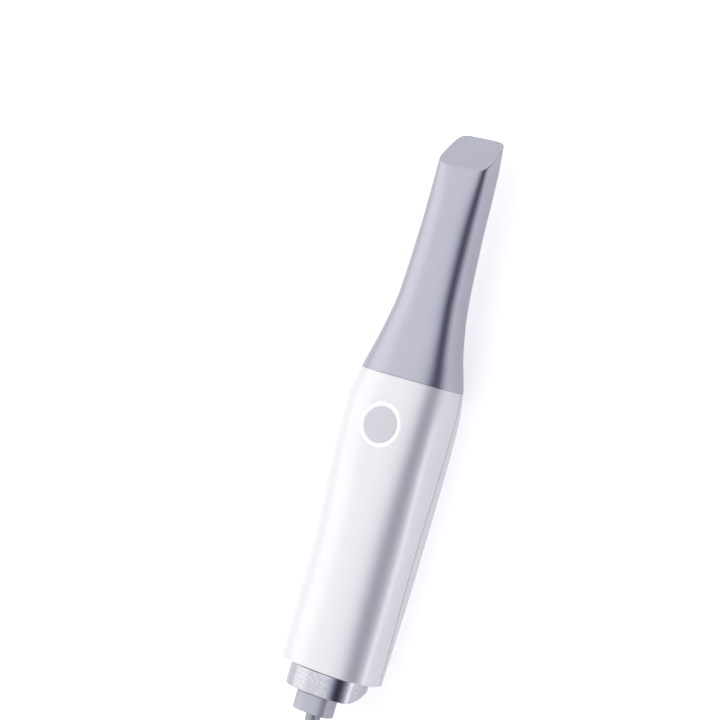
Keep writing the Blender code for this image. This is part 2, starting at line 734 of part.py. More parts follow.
def make_optics(parent, alloy, black, glass, board_green):
    """The carrier with its projector and two cameras, each with a lens, and what drives them."""
    start = carrier_start()
    low = (-CARRIER_HALF_WIDTH, start, OPTIC_HEIGHT - CARRIER_HALF_HEIGHT)
    high = (CARRIER_HALF_WIDTH, start + CARRIER_LENGTH, OPTIC_HEIGHT + CARRIER_HALF_HEIGHT)
    carrier = block("lens_carrier", low, high, alloy, parent, 0.0006)
    module_end = start - 0.0046
    along_y = (-math.pi / 2, 0, 0)
    kinds = [("projector", 0.0, PROJECTOR_RADIUS, PROJECTOR_BARREL, module_end + GAP)]
    kinds += [(f"camera_{word}", side * CAMERA_SPACING, CAMERA_RADIUS, CAMERA_BARREL, start - 0.0010)
              for word, side in (("left", -1), ("right", 1))]
    for word, x, radius, length, back in kinds:
        bore = turned(f"{word}_bore", [(0.0, -0.001), (radius + CLOSE_GAP, -0.001),
                                       (radius + CLOSE_GAP, CARRIER_LENGTH + 0.001), (0.0, CARRIER_LENGTH + 0.001)],
                      None, parent, (x, start, OPTIC_HEIGHT), along_y)
        shape_with(carrier, hide(bore))
        make_barrel(word, x, radius, length, back, parent, black, glass, along_y)
    for word, side in (("left", -1), ("right", 1)):
        inner = side * (PROJECTOR_RADIUS + 2 * GAP)
        outer = inner + side * SENSOR_BOARD_WIDTH
        back = start - 0.0010 - GAP
        half = SENSOR_BOARD_HEIGHT / 2
        block(f"camera_board_{word}", (min(inner, outer), back - BOARD_THICKNESS, OPTIC_HEIGHT - half),
              (max(inner, outer), back, OPTIC_HEIGHT + half), board_green, parent)
    module_low = MAIN_BOARD_HEIGHT + MAIN_BOARD_THICKNESS + GAP
    block("projector_module", (-MODULE_HALF_WIDTH, module_end - MODULE_LENGTH, module_low),
          (MODULE_HALF_WIDTH, module_end, MODULE_TOP), black, parent, 0.0006)
    make_heat_sink(parent, alloy, module_end - MODULE_LENGTH, module_end)


def make_barrel(word, x, radius, length, back, parent, black, glass, along_y):
    """A lens barrel with a stepped front and its lens in the recess."""
    rim = radius - LENS_RIM
    front = length
    recess = front - LENS_RECESS
    profile = [(0.0, 0.0), (radius, 0.0), (radius, front), (rim, front), (rim, recess), (0.0, recess)]
    turned(f"{word}_barrel", profile, black, parent, (x, back, OPTIC_HEIGHT), along_y, sides=24)
    glass_radius = rim - CLOSE_GAP / 2
    low = recess + CLOSE_GAP / 2
    edge = low + LENS_RECESS * 0.4
    bulge = LENS_RECESS * 0.3
    arc = [(glass_radius * math.cos(a), edge + bulge * math.sin(a)) for a in (0.0, math.pi / 6, math.pi / 3)]
    lens = [(0.0, low), (glass_radius, low)] + arc + [(0.0, edge + bulge)]
    turned(f"{word}_lens", lens, glass, parent, (x, back, OPTIC_HEIGHT), along_y, sides=24)


def make_heat_sink(parent, alloy, start, end):
    """The finned plate on the projector module: one comb, drawn along the handle."""
    low = MODULE_TOP + GAP
    pitch = 2 * MODULE_HALF_WIDTH / (2 * FIN_COUNT - 1)
    outline = [(-MODULE_HALF_WIDTH, low), (MODULE_HALF_WIDTH, low)]
    base = low + SINK_BASE
    for k in reversed(range(FIN_COUNT)):
        left = -MODULE_HALF_WIDTH + 2 * k * pitch
        right = left + pitch
        outline += [(right, base + FIN_HEIGHT), (left, base + FIN_HEIGHT)]
        if k > 0:
            outline += [(left, base), (left - pitch, base)]
    rings = [[Vector((x, at, z)) for x, z in outline] for at in (start, end)]
    loft("heat_sink", rings, alloy, parent)


def make_electronics(parent, board_green, black, steel, beige):
    """The main board on its bosses, with the processor, the socket and the lead's inner end."""
    end = MAIN_BOARD_START + MAIN_BOARD_LENGTH
    face = MAIN_BOARD_HEIGHT + MAIN_BOARD_THICKNESS
    board = block("main_board", (-MAIN_BOARD_HALF_WIDTH, MAIN_BOARD_START, MAIN_BOARD_HEIGHT),
                  (MAIN_BOARD_HALF_WIDTH, end, face), board_green, parent)
    for k, (x, y) in enumerate(boss_places()):
        hole = rod("main_board_hole", SCREW_RADIUS + CLOSE_GAP, (x, y, MAIN_BOARD_HEIGHT - 0.001),
                   (x, y, face + 0.001), None, parent, 16)
        shape_with(board, hide(hole))
        under = face + CLOSE_GAP / 2
        reach = under - HANDLE_WALL * 1.8
        screw = [(0.0, -reach), (SCREW_RADIUS, -reach), (SCREW_RADIUS, 0.0), (SCREW_HEAD_RADIUS, 0.0),
                 (SCREW_HEAD_RADIUS, SCREW_HEAD_HEIGHT * 0.6), (SCREW_HEAD_RADIUS * 0.7, SCREW_HEAD_HEIGHT),
                 (0.0, SCREW_HEAD_HEIGHT)]
        turned(f"board_screw_{k + 1}", screw, steel, parent, (x, y, under), sides=16)
    seat = face + CLOSE_GAP / 2
    middle = MAIN_BOARD_START + MAIN_BOARD_LENGTH * 0.52
    half = PROCESSOR_SIZE / 2
    block("processor", (-half, middle - half, seat), (half, middle + half, seat + PROCESSOR_HEIGHT), black, parent, 0.0002)
    socket_start = MAIN_BOARD_START + 0.0085
    socket = block("lead_socket", (-SOCKET_HALF_WIDTH, socket_start, seat),
                   (SOCKET_HALF_WIDTH, socket_start + SOCKET_LENGTH, seat + SOCKET_HEIGHT), beige, parent)
    wall = 0.0008
    mouth = block("socket_mouth", (-SOCKET_HALF_WIDTH + wall, socket_start - 0.001, seat + wall),
                  (SOCKET_HALF_WIDTH - wall, socket_start + SOCKET_LENGTH - 2 * wall, seat + SOCKET_HEIGHT - wall),
                  None, parent)
    shape_with(socket, hide(mouth))
    plug_end = socket_start + SOCKET_LENGTH - 2 * wall - GAP
    plug_start = plug_end - HARNESS_PLUG_LENGTH
    edge = wall + CLOSE_GAP
    block("harness_plug", (-SOCKET_HALF_WIDTH + edge, plug_start, seat + edge),
          (SOCKET_HALF_WIDTH - edge, plug_end, seat + SOCKET_HEIGHT - edge), beige, parent)
    plug_height = seat + SOCKET_HEIGHT / 2
    start = gland_inner_end() + GAP
    drop = GLAND_HEIGHT - plug_height
    finish = plug_start - GAP
    points = []
    for k in range(HARNESS_STEPS + 1):
        t = k / HARNESS_STEPS
        eased = t * t * (3 - 2 * t)
        points.append((0, start + (finish - start) * t, GLAND_HEIGHT - drop * eased))
    tube("harness", points, HARNESS_RADIUS, black, parent)


def tube(name, points, radius, finish, parent):
    """A round lead along its points, with closed ends."""
    line = bpy.data.curves.new(name, "CURVE")
    line.dimensions = "3D"
    line.bevel_depth = radius
    line.bevel_resolution = 2
    line.use_fill_caps = True
    run = line.splines.new("POLY")
    run.points.add(len(points) - 1)
    for point, place in zip(run.points, points):
        point.co = (*place, 1.0)
    line.materials.append(finish)
    made = bpy.data.objects.new(name, line)
    bpy.context.scene.collection.objects.link(made)
    made.parent = parent
    return made


def ring_outline(at, inset=0.0):
    """The tail ring's outline."""
    height = (TAIL_TOP + TAIL_BELLY) / 2
    return flat_ring(at, RING_HALF_WIDTH - inset, RING_HALF_HEIGHT - inset, height, RING_SQUARENESS)


def gland_outline(at, inset=0.0):
    """The cable gland's outline."""
    return flat_ring(at, GLAND_HALF_WIDTH - inset, GLAND_HALF_HEIGHT - inset, GLAND_HEIGHT, GLAND_SQUARENESS, 36)


def ring_fall(height):
    """How far the ring's end falls back towards the handle at a height: nothing at the button side."""
    share = (RING_FALL_TOP - height) / (RING_FALL_TOP - RING_FALL_FOOT)
    share = min(max(share, 0.0), 1.0)
    return RING_FALL * share * share * (3 - 2 * share)


def fallen(ring):
    """A ring of points moved along the handle with the ring's sloping end."""
    return [Vector((point.x, point.y + ring_fall(point.z), point.z)) for point in ring]


def beyond_end(name, shift, parent):
    """The space behind the ring's sloping end, moved along the handle by shift."""
    reach = RING_HALF_WIDTH * 1.5
    low, high = RING_FALL_FOOT, RING_FALL_TOP
    heights = [-0.01] + spread(low, high, (high - low) / 10) + [0.04]
    far = -GAP - RING_LENGTH - 0.02
    rings = []
    for x in (-reach, reach):
        line = [Vector((x, -GAP - RING_LENGTH + shift + ring_fall(z), z)) for z in heights]
        rings.append(line + [Vector((x, far, heights[-1])), Vector((x, far, heights[0]))])
    return loft(name, rings, None, parent, hidden=True)


def gland_lip_root():
    """Height of the lowest point of the gland's lip."""
    return GLAND_HEIGHT - GLAND_HALF_HEIGHT + GLAND_LIP_INSET


def gland_inner_end():
    """Where the gland's lip ends inside the ring."""
    wall_face = -GAP - RING_LENGTH + RING_END_WALL + CLOSE_GAP
    return wall_face + ring_fall(gland_lip_root()) + GLAND_LIP_LENGTH


def make_tail(parent, satin_metal, soft_grey):
    """The metal tail ring, held by its lip inside the shells, and the gland held by its own lip."""
    ring_start = -GAP - RING_LENGTH
    lip_start = TAIL_WALL + GAP
    lip_end = lip_start + SPIGOT_LIP_LENGTH
    outside = [ring_outline(at, inset) for at, inset in rounded_stops(ring_start, -GAP, RING_ROUNDING)]
    outside += [ring_outline(at, SPIGOT_INSET) for at in (-GAP, lip_start)]
    outside += [ring_outline(at, SPIGOT_INSET - SPIGOT_LIP) for at in (lip_start, lip_end)]
    ring = loft("tail_ring", outside, satin_metal, parent)
    inside_start = ring_start + RING_END_WALL
    shape_with(ring, beyond_end("ring_end_slope", 0.0, parent))
    bore = loft("ring_bore", [ring_outline(at, RING_WALL) for at in (inside_start, lip_end + 0.001)],
                None, parent, hidden=True)
    shape_with(bore, beyond_end("bore_end_slope", RING_END_WALL, parent))
    shape_with(ring, bore)
    neck_hole = [gland_outline(at, GLAND_NECK_INSET - CLOSE_GAP)
                 for at in (ring_start - 0.001, inside_start + RING_FALL + 0.0005)]
    shape_with(ring, loft("neck_hole", neck_hole, None, parent, hidden=True))
    face = ring_start - GAP
    lip = inside_start + CLOSE_GAP
    stops = rounded_stops(face - GLAND_LENGTH, face, GLAND_ROUNDING, at_end=False)
    gland = [gland_outline(at, inset) for at, inset in stops[:-1]]
    gland += [fallen(gland_outline(at, inset)) for at, inset in stops[-1:]]
    gland += [fallen(gland_outline(at, GLAND_NECK_INSET)) for at in (face, lip)]
    gland += [fallen(gland_outline(lip, GLAND_LIP_INSET)), gland_outline(gland_inner_end(), GLAND_LIP_INSET)]
    loft("cable_gland", gland, soft_grey, parent)


def gland_end():
    """Where the cable leaves the gland."""
    return -GAP - RING_LENGTH - GAP - GLAND_LENGTH


def hank_line(turn, offset=0.0):
    """A point of the hank's path, as (x, y): right run, far fold, left run and near fold make one turn."""
    fold = math.pi * FOLD_RADIUS
    whole = 2 * (HANK_RUN + fold)
    along = (turn % 1.0) * whole
    near = -HANK_BACK - FOLD_RADIUS - 2 * CABLE_RADIUS
    far = near - HANK_RUN
    reach = FOLD_RADIUS + offset
    if along < HANK_RUN or HANK_RUN + fold <= along < 2 * HANK_RUN + fold:
        right = along < HANK_RUN
        run = along if right else along - HANK_RUN - fold
        from_waist = 2 * run / HANK_RUN - 1
        u = abs(from_waist)
        x = HANK_PINCH + (FOLD_RADIUS - HANK_PINCH) * u * u * (3 - 2 * u)
        slope = 12 * (FOLD_RADIUS - HANK_PINCH) / HANK_RUN * u * (1 - u) * math.copysign(1, from_waist)
        length = math.hypot(1, slope)
        out_x, out_y = 1 / length, slope / length
        side = 1 if right else -1
        y = near - run if right else far + run
        return side * (x + offset * out_x), y + side * offset * out_y
    if along < HANK_RUN + fold:
        angle = (along - HANK_RUN) / FOLD_RADIUS
        return reach * math.cos(angle), far - reach * math.sin(angle)
    angle = (along - 2 * HANK_RUN - fold) / FOLD_RADIUS
    return -reach * math.cos(angle), near + reach * math.sin(angle)


def hank_waist():
    """The middle of the hank, along the handle's line."""
    return -HANK_BACK - FOLD_RADIUS - 2 * CABLE_RADIUS - HANK_RUN / 2


# The lead's own points where it isn't wound: from the gland to the hank, and from the hank to the plug
LEAD_ROUTE = [
    (0.0000, -0.0150, 0.0182), (0.0002, -0.0189, 0.0181), (0.0008, -0.0228, 0.0179),
    (0.0015, -0.0266, 0.0176), (0.0019, -0.0305, 0.0172),
]
END_ROUTE = [
    (0.0106, -0.0850, 0.0201), (0.0087, -0.0886, 0.0205), (0.0066, -0.0924, 0.0210), (0.0045, -0.0964, 0.0214),
    (0.0026, -0.1004, 0.0217), (0.0012, -0.1046, 0.0218), (0.0004, -0.1090, 0.0218), (0.0000, -0.1133, 0.0217),
    (0.0000, -0.1159, 0.0217),
]


def make_lead(parent, grey_lead, black, dark, steel):
    """The lead: a short run to its hank, the wound length, the tie and the USB plug lying on top."""
    height = 2 * CABLE_RADIUS * HANK_LAYERS
    lead = [Vector(point) for point in LEAD_ROUTE]
    lead[0].y = gland_end() - GAP
    tube("cable", lead, CABLE_RADIUS, grey_lead, parent)
    steps = 56
    outline = [hank_line(k / steps, 2 * CABLE_RADIUS) for k in range(steps)]
    rings = [[Vector((x, y, z)) for x, y in outline] for z in (0.0, height)]
    hank = loft("cable_hank", rings, grey_lead, parent)
    waist = hank_waist()
    half = TIE_WIDTH / 2
    lift = TIE_THICKNESS + GAP
    slot = block("tie_slot", (-TIE_SLOT_REACH, waist - half - GAP, -0.001),
                 (TIE_SLOT_REACH, waist + half + GAP, lift), None, parent)
    shape_with(hank, hide(slot))
    side = HANK_PINCH + 2 * CABLE_RADIUS + TIE_SPREAD + GAP
    make_tie(parent, black, waist, side, height + GAP)
    tube("cable_end", END_ROUTE, CABLE_RADIUS, grey_lead, parent)
    make_plug(parent, dark, steel, black, waist - PLUG_AWAY, END_ROUTE[-1][2])


def make_tie(parent, black, waist, side, height):
    """The strap round the hank's waist, a closed band that also passes under it."""
    low = TIE_THICKNESS
    corner = TIE_THICKNESS * 0.8

    def outline(grow):
        points = []
        for across, up, turn in ((1, 1, 0), (-1, 1, 1), (-1, -1, 2), (1, -1, 3)):
            centre_x = across * (side - corner)
            centre_z = height - corner if up > 0 else low + corner
            for step in range(4):
                angle = (turn + step / 3) * math.pi / 2
                points.append((centre_x + (corner + grow) * math.cos(angle), centre_z + (corner + grow) * math.sin(angle)))
        return points

    shape = bmesh.new()
    loops = []
    for y, grow in ((-TIE_WIDTH / 2, 0.0), (-TIE_WIDTH / 2, TIE_THICKNESS), (TIE_WIDTH / 2, TIE_THICKNESS), (TIE_WIDTH / 2, 0.0)):
        loops.append([shape.verts.new((x, waist + y, z)) for x, z in outline(grow)])
    for row, following in zip(loops, loops[1:] + loops[:1]):
        for i in range(len(row)):
            k = (i + 1) % len(row)
            shape.faces.new((row[i], row[k], following[k], following[i]))
    bmesh.ops.recalc_face_normals(shape, faces=shape.faces)
    mesh = bpy.data.meshes.new("cable_tie")
    shape.to_mesh(mesh)
    shape.free()
    shade(mesh)
    add_object("cable_tie", mesh, black, parent)


def make_plug(parent, dark, steel, black, start, height):
    """The USB plug: a tapered relief, a moulded body, a folded sheet shell and its tongue."""
    relief_end = start - PLUG_RELIEF_LENGTH
    wide, narrow = CABLE_RADIUS + 0.0012, CABLE_RADIUS + 0.0004
    relief = [flat_ring(at, half, half, height, 2.0, 24) for at, half in ((start, narrow), (relief_end, wide))]
    loft("plug_relief", relief, dark, parent)
    body_start = relief_end - GAP
    body_end = body_start - PLUG_BODY_LENGTH
    rings = [flat_ring(at, PLUG_HALF_WIDTH - inset, PLUG_HALF_HEIGHT - inset, height, 5.0, 36)
             for at, inset in rounded_stops(body_end, body_start, 0.0008)]
    loft("plug_body", rings, dark, parent)
    shell_start = body_end - CLOSE_GAP
    shell_end = shell_start - PLUG_SHELL_LENGTH
    low = (-PLUG_SHELL_HALF_WIDTH, shell_end, height - PLUG_SHELL_HALF_HEIGHT)
    high = (PLUG_SHELL_HALF_WIDTH, shell_start, height + PLUG_SHELL_HALF_HEIGHT)
    shell = block("plug_shell", low, high, steel, parent)
    sheet = PLUG_SHEET
    hollow = block("plug_hollow", (low[0] + sheet, low[1] - 0.001, low[2] + sheet),
                   (high[0] - sheet, high[1] - sheet, high[2] - sheet), None, parent)
    shape_with(shell, hide(hollow))
    block("plug_tongue", (low[0] + sheet + CLOSE_GAP, low[1] + 0.0005, low[2] + sheet + CLOSE_GAP),
          (high[0] - sheet - CLOSE_GAP, high[1] - sheet - CLOSE_GAP, height + PLUG_SHEET), black, parent)


def clear_scene():
    """Starts from an empty scene."""
    for old in list(bpy.data.objects):
        bpy.data.objects.remove(old, do_unlink=True)


def main():
    clear_scene()
    white = material("white gloss plastic", (0.86, 0.86, 0.88), 0.22)
    grey = material("lilac grey plastic", (0.48, 0.49, 0.55), 0.3)
    light_grey = material("light grey plastic", (0.7, 0.71, 0.75), 0.35)
    glow = material("white light guide", (0.95, 0.95, 0.97), 0.3)
    satin_metal = material("blasted aluminium", (0.72, 0.72, 0.75), 0.42, 1.0)
    alloy = material("milled aluminium", (0.62, 0.63, 0.65), 0.35, 1.0)
    soft_grey = material("grey moulded plastic", (0.52, 0.52, 0.57), 0.45)
    grey_lead = material("grey cable jacket", (0.55, 0.55, 0.6), 0.5)
    black = material("black plastic", (0.03, 0.03, 0.035), 0.45)
    dark = material("dark grey plastic", (0.12, 0.12, 0.14), 0.4)
    rubber = material("black rubber", (0.02, 0.02, 0.02), 0.7)
    steel = material("plated steel", (0.7, 0.7, 0.72), 0.25, 1.0)
    beige = material("beige plastic", (0.75, 0.71, 0.6), 0.5)
    board_green = material("green circuit board", (0.02, 0.16, 0.07), 0.4)
    glass = material("coated glass", (0.8, 0.85, 0.95), 0.05, 0.0, 0.8)
    mirror_glass = material("mirror glass", (0.85, 0.86, 0.9), 0.03, 1.0)

    head_reach = max(point.y for along, inset in head_edge() for point in slant_ring(HEAD_END - along, 1.0, inset))
    scanner = empty("scanner", None, (0, -(head_reach + gland_end()) / 2, 0))
    tip_axis = empty("tip_axis", scanner, (0, TIP_START, (JOINT_TOP + JOINT_BELLY) / 2))
    button_axis = empty("button_axis", scanner, (0, BUTTON_AT, button_top()))

    make_handle(scanner, white)
    make_nose(scanner, dark, rubber, glass)
    make_tip(tip_axis, grey, mirror_glass)
    make_button(scanner, button_axis, light_grey, glow, black, board_green, steel)
    make_optics(scanner, alloy, black, glass, board_green)
    make_electronics(scanner, board_green, black, steel, beige)
    make_tail(scanner, satin_metal, soft_grey)
    make_lead(scanner, grey_lead, black, dark, steel)


main()
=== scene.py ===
import math

import bmesh
import bpy
from mathutils import Matrix, Vector


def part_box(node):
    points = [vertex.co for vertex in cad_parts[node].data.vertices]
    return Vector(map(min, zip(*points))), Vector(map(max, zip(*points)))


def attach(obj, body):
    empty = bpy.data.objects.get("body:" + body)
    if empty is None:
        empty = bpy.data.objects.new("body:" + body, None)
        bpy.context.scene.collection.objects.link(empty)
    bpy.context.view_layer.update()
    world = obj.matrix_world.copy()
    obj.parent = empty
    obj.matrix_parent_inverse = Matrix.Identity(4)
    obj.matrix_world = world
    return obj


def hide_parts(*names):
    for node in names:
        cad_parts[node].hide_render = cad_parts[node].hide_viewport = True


mm = 0.001
imageSize = 720

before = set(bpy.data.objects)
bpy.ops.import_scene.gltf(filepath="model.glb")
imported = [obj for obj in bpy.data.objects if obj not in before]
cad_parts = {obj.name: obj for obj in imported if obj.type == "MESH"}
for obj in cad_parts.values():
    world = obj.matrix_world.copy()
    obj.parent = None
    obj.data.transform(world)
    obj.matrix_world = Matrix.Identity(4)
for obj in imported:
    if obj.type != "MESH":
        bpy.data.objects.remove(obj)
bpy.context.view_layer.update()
scene = bpy.context.scene
scene.view_settings.view_transform = "Standard"

# Places along the handle are counted from its tail face, which lies here along the row's Y
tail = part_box("rear_shell")[0][1]
foot = Vector((0, tail, 0))
print("frame loaded, tail face at", round(tail / mm, 2), "mm")

# A colour mix takes its two colours on these inputs and gives its result on this output
mixFrom, mixTo, mixResult = 6, 7, 2


# The linear colour of an sRGB hex code
def linear(code):
    values = [int(code[i : i + 2], 16) / 255 for i in (1, 3, 5)]
    return tuple(v / 12.92 if v <= 0.04045 else ((v + 0.055) / 1.055) ** 2.4 for v in values) + (1.0,)


# Adds a node, sets its properties and fills its inputs with values or links
def addNode(tree, kind, settings=None, inputs=None):
    node = tree.nodes.new(kind)
    for name, value in (settings or {}).items():
        setattr(node, name, value)
    for name, value in (inputs or {}).items():
        if isinstance(value, bpy.types.NodeSocket):
            tree.links.new(value, node.inputs[name])
        else:
            node.inputs[name].default_value = value
    return node


# The camera: where the photograph was taken from, in millimetres from the foot of the tail face
cameraPlan = {
    "place": (340.75, 109.38, 669.49),
    "right": (0.8415, 0.2725, -0.4665),
    "down": (0.2351, -0.9621, -0.1380),
    "focalPixels": 1982.3,
    "sensor": 36.0,
    "clip": (0.01, 20.0),
}


# A camera with the photograph's place, turn and field
def makeCamera(plan):
    data = bpy.data.cameras.new("photoCamera")
    data.sensor_width = plan["sensor"]
    data.lens = plan["focalPixels"] * plan["sensor"] / imageSize
    data.clip_start, data.clip_end = plan["clip"]
    camera = bpy.data.objects.new("photoCamera", data)
    scene.collection.objects.link(camera)
    right = Vector(plan["right"]).normalized()
    back = right.cross(-Vector(plan["down"])).normalized()
    up = back.cross(right)
    turn = Matrix((right, up, back)).transposed().to_4x4()
    camera.matrix_world = Matrix.Translation(Vector(plan["place"]) * mm + foot) @ turn
    scene.camera = camera


makeCamera(cameraPlan)
print("camera in place")


# Clearances in millimetres: between two pieces, and where one fits into the other
gap = 0.3
closeGap = 0.2

# Shape of the skin: distances along the handle and the sizes there, in millimetres.
# What lies deeper than outerDepth follows the squareness of the inside
handleLength = 111.8
tipLength = 94.9
headEnd = handleLength + tipLength
browAt = handleLength + 80.9
skin = {
    "stops": [
        0.0, 45.0, 86.0, 100.0, handleLength, handleLength + 15.0, handleLength + 32.0,
        handleLength + 55.0, browAt, headEnd,
    ],
    "halfWidth": [19.7, 20.4, 21.0, 21.0, 19.8, 16.0, 13.2, 12.1, 11.2, 9.8],
    "top": [27.4, 27.9, 30.1, 30.1, 28.0, 25.8, 24.6, 24.6, 24.4, 24.3],
    "belly": [1.0, -1.7, -0.5, 0.5, 2.2, 5.2, 7.1, 9.0, 11.2, 12.0],
    "squareStops": [
        0.0, 45.0, 100.0, handleLength, handleLength + 15.0, handleLength + 32.0,
        handleLength + 55.0, handleLength + 69.0, headEnd,
    ],
    "crownSquare": [2.4, 2.35, 2.9, 2.75, 3.0, 2.9, 2.7, 2.95, 5.5],
    "bellySquare": [2.8, 2.65, 3.05, 3.05, 3.0, 3.0, 3.0, 3.55, 5.5],
    "innerSquare": [3.05, 3.05, 3.05, 3.5, 3.5, 3.5, 3.5, 3.8, 5.0],
    "outerDepth": 1.2,
    "partingStops": [0.0, handleLength / 2, handleLength],
    "parting": [11.2, 13.7, 12.3],
    "landSoftness": 0.12,
}


# A curve through the values that never overshoots them
def smoothCurve(stops, values):
    steps = [b - a for a, b in zip(stops, stops[1:])]
    rises = [(b - a) / step for a, b, step in zip(values, values[1:], steps)]
    slopes = [rises[0]]
    for before, after in zip(rises, rises[1:]):
        slopes.append(2 * before * after / (before + after) if before * after > 0 else 0.0)
    slopes.append(rises[-1])

    def height(at):
        i = max(k for k in range(len(steps)) if k == 0 or stops[k] <= at)
        t = min(max((at - stops[i]) / steps[i], 0.0), 1.0)
        start = values[i] * (1 + 2 * t) + slopes[i] * steps[i] * t
        end = values[i + 1] * (3 - 2 * t) - slopes[i + 1] * steps[i] * (1 - t)
        return start * (1 - t) ** 2 + end * t**2

    return height


halfWidth = smoothCurve(skin["stops"], skin["halfWidth"])
top = smoothCurve(skin["stops"], skin["top"])
belly = smoothCurve(skin["stops"], skin["belly"])
crownSquareness = smoothCurve(skin["squareStops"], skin["crownSquare"])
bellySquareness = smoothCurve(skin["squareStops"], skin["bellySquare"])
innerSquareness = smoothCurve(skin["squareStops"], skin["innerSquare"])
parting = smoothCurve(skin["partingStops"], skin["parting"])
tailMiddle = (top(0.0) + belly(0.0)) / 2
jointMiddle = (top(handleLength) + belly(handleLength)) / 2
headFoot = belly(headEnd)
headDepth = top(headEnd) - headFoot


# From 0 to 1 with a soft start and end
def softStep(share):
    share = min(max(share, 0.0), 1.0)
    return share * share * (3 - 2 * share)


# Distance to the edge of a rounded square of half width 1
def squareReach(angle, square):
    return (abs(math.cos(angle)) ** square + abs(math.sin(angle)) ** square) ** (-1 / square)


# A point of the skin, moved in by inset, in millimetres from the tail's foot.
# The land is flat, with a soft edge where the crown leaves it
def skinPoint(angle, at, inset=0.0):
    outerSquareness = crownSquareness if math.sin(angle) > 0 else bellySquareness
    squareness = innerSquareness if inset > skin["outerDepth"] else outerSquareness
    reach = squareReach(angle, squareness(at))
    x = (halfWidth(at) - inset) * reach * math.cos(angle)
    middle, half = (top(at) + belly(at)) / 2, (top(at) - belly(at)) / 2
    lift = middle + (half - inset) * reach * math.sin(angle) - inset
    return Vector((x, at, inset + (lift + math.hypot(lift, skin["landSoftness"])) / 2))


# A point of an outline that leans back towards the button side; a share of 1 is the head's face.
# The lean depends on the height of the point that it moves, so a few rounds settle it
def slantPoint(angle, base, share, inset=0.0):
    rounds = 5
    lean = share * (headEnd - browAt) / headDepth
    at = base
    for _ in range(rounds):
        point = skinPoint(angle, at, inset)
        at = base - lean * (point.z - headFoot)
    return Vector((point.x, at, point.z))


# A rounded square outline as a function of the angle and the place
def outline(halfX, halfZ, height, square):

    def point(angle, at):
        reach = squareReach(angle, square)
        return Vector((halfX * reach * math.cos(angle), at, height + halfZ * reach * math.sin(angle)))

    return point


# Points all round, each from its angle
def ring(point, count):
    return [point(2 * math.pi * i / count) for i in range(count)]


# One loop of a piece's own rounded square, moved in by inset
def outlineRow(sizes, at, inset=0.0):
    edge = outline(
        sizes["halfWidth"] - inset, sizes["halfHeight"] - inset, sizes["height"], sizes["square"]
    )
    return ring(lambda angle: edge(angle, at), sizes["across"])


# Places from start to end, about a step apart
def spread(start, end, step):
    count = max(1, round((end - start) / step))
    return [start + (end - start) * i / count for i in range(count + 1)]


# Angles of a quarter turn in equal steps, for a rounded edge
def quarterTurn(steps):
    return [math.pi / 2 * k / steps for k in range(steps + 1)]


# Smooth shading that stays crisp at edges sharper than an angle
def shade(mesh, sharp=40):
    mesh.shade_smooth()
    mesh.set_sharp_from_angle(angle=math.radians(sharp))


# A body through rows of points, each row a closed loop, in millimetres from the tail's foot.
# The ends are capped, or the last row joins the first
def makeMesh(name, rows, finish, wrapRows=False, sharp=40, origin=foot):
    shape = bmesh.new()
    loops = [[shape.verts.new(point * mm + origin) for point in row] for row in rows]
    pairs = list(zip(loops, loops[1:]))
    if wrapRows:
        pairs.append((loops[-1], loops[0]))
    for row, following in pairs:
        for i in range(len(row)):
            k = (i + 1) % len(row)
            shape.faces.new((row[i], row[k], following[k], following[i]))
    if not wrapRows:
        shape.faces.new(loops[0])
        shape.faces.new(loops[-1])
    bmesh.ops.recalc_face_normals(shape, faces=shape.faces)
    mesh = bpy.data.meshes.new(name)
    shape.to_mesh(mesh)
    shape.free()
    shade(mesh, sharp)
    made = bpy.data.objects.new(name, mesh)
    scene.collection.objects.link(made)
    if finish:
        mesh.materials.append(finish)
    return made


# Rows of a body turned about an axis: profile is a row of (radius, along) pairs.
# A point on the axis becomes a very small loop, so that every row has as many points
def turnedRows(profile, centre, sides, direction="z"):
    smallest = 0.01
    rows = []
    for radius, along in profile:
        radius = max(radius, smallest)
        row = []
        for i in range(sides):
            a = 2 * math.pi * i / sides
            u, v = radius * math.cos(a), radius * math.sin(a)
            offset = Vector((u, v, along)) if direction == "z" else Vector((u, along, v))
            row.append(Vector(centre) + offset)
        rows.append(row)
    return rows


# Rounds the corners of a (radius, along) profile, none past the middle of its sides
def eased(profile, radius, closed=True):
    steps, furthest = 3, 0.45
    result = []
    for i, corner in enumerate(profile):
        before, after = profile[i - 1], profile[(i + 1) % len(profile)]
        if not closed and i in (0, len(profile) - 1):
            result.append(corner)
            continue
        corner, before, after = Vector(corner), Vector(before), Vector(after)
        toBefore, toAfter = before - corner, after - corner
        reach = min(radius, toBefore.length * furthest, toAfter.length * furthest)
        first, last = corner + toBefore.normalized() * reach, corner + toAfter.normalized() * reach
        for k in range(steps + 1):
            t = k / steps
            point = first * (1 - t) ** 2 + corner * 2 * t * (1 - t) + last * t**2
            result.append((point.x, point.y))
    return result


# Makes what a piece's modifiers do part of its mesh
def settle(piece):
    graph = bpy.context.evaluated_depsgraph_get()
    mesh = bpy.data.meshes.new_from_object(piece.evaluated_get(graph))
    piece.modifiers.clear()
    piece.data = mesh


# Takes a body out of a piece and clears the cutter away
def cut(piece, cutter):
    step = piece.modifiers.new(cutter.name, "BOOLEAN")
    step.operation = "DIFFERENCE"
    step.object = cutter
    step.solver = "EXACT"
    settle(piece)
    bpy.data.objects.remove(cutter, do_unlink=True)
    shade(piece.data)


# Eases the sharp edges so that they catch light
def bevelled(piece, width, angle, segments=2):
    step = piece.modifiers.new("easedEdges", "BEVEL")
    step.width = width * mm
    step.segments = segments
    step.limit_method = "ANGLE"
    step.angle_limit = math.radians(angle)
    settle(piece)


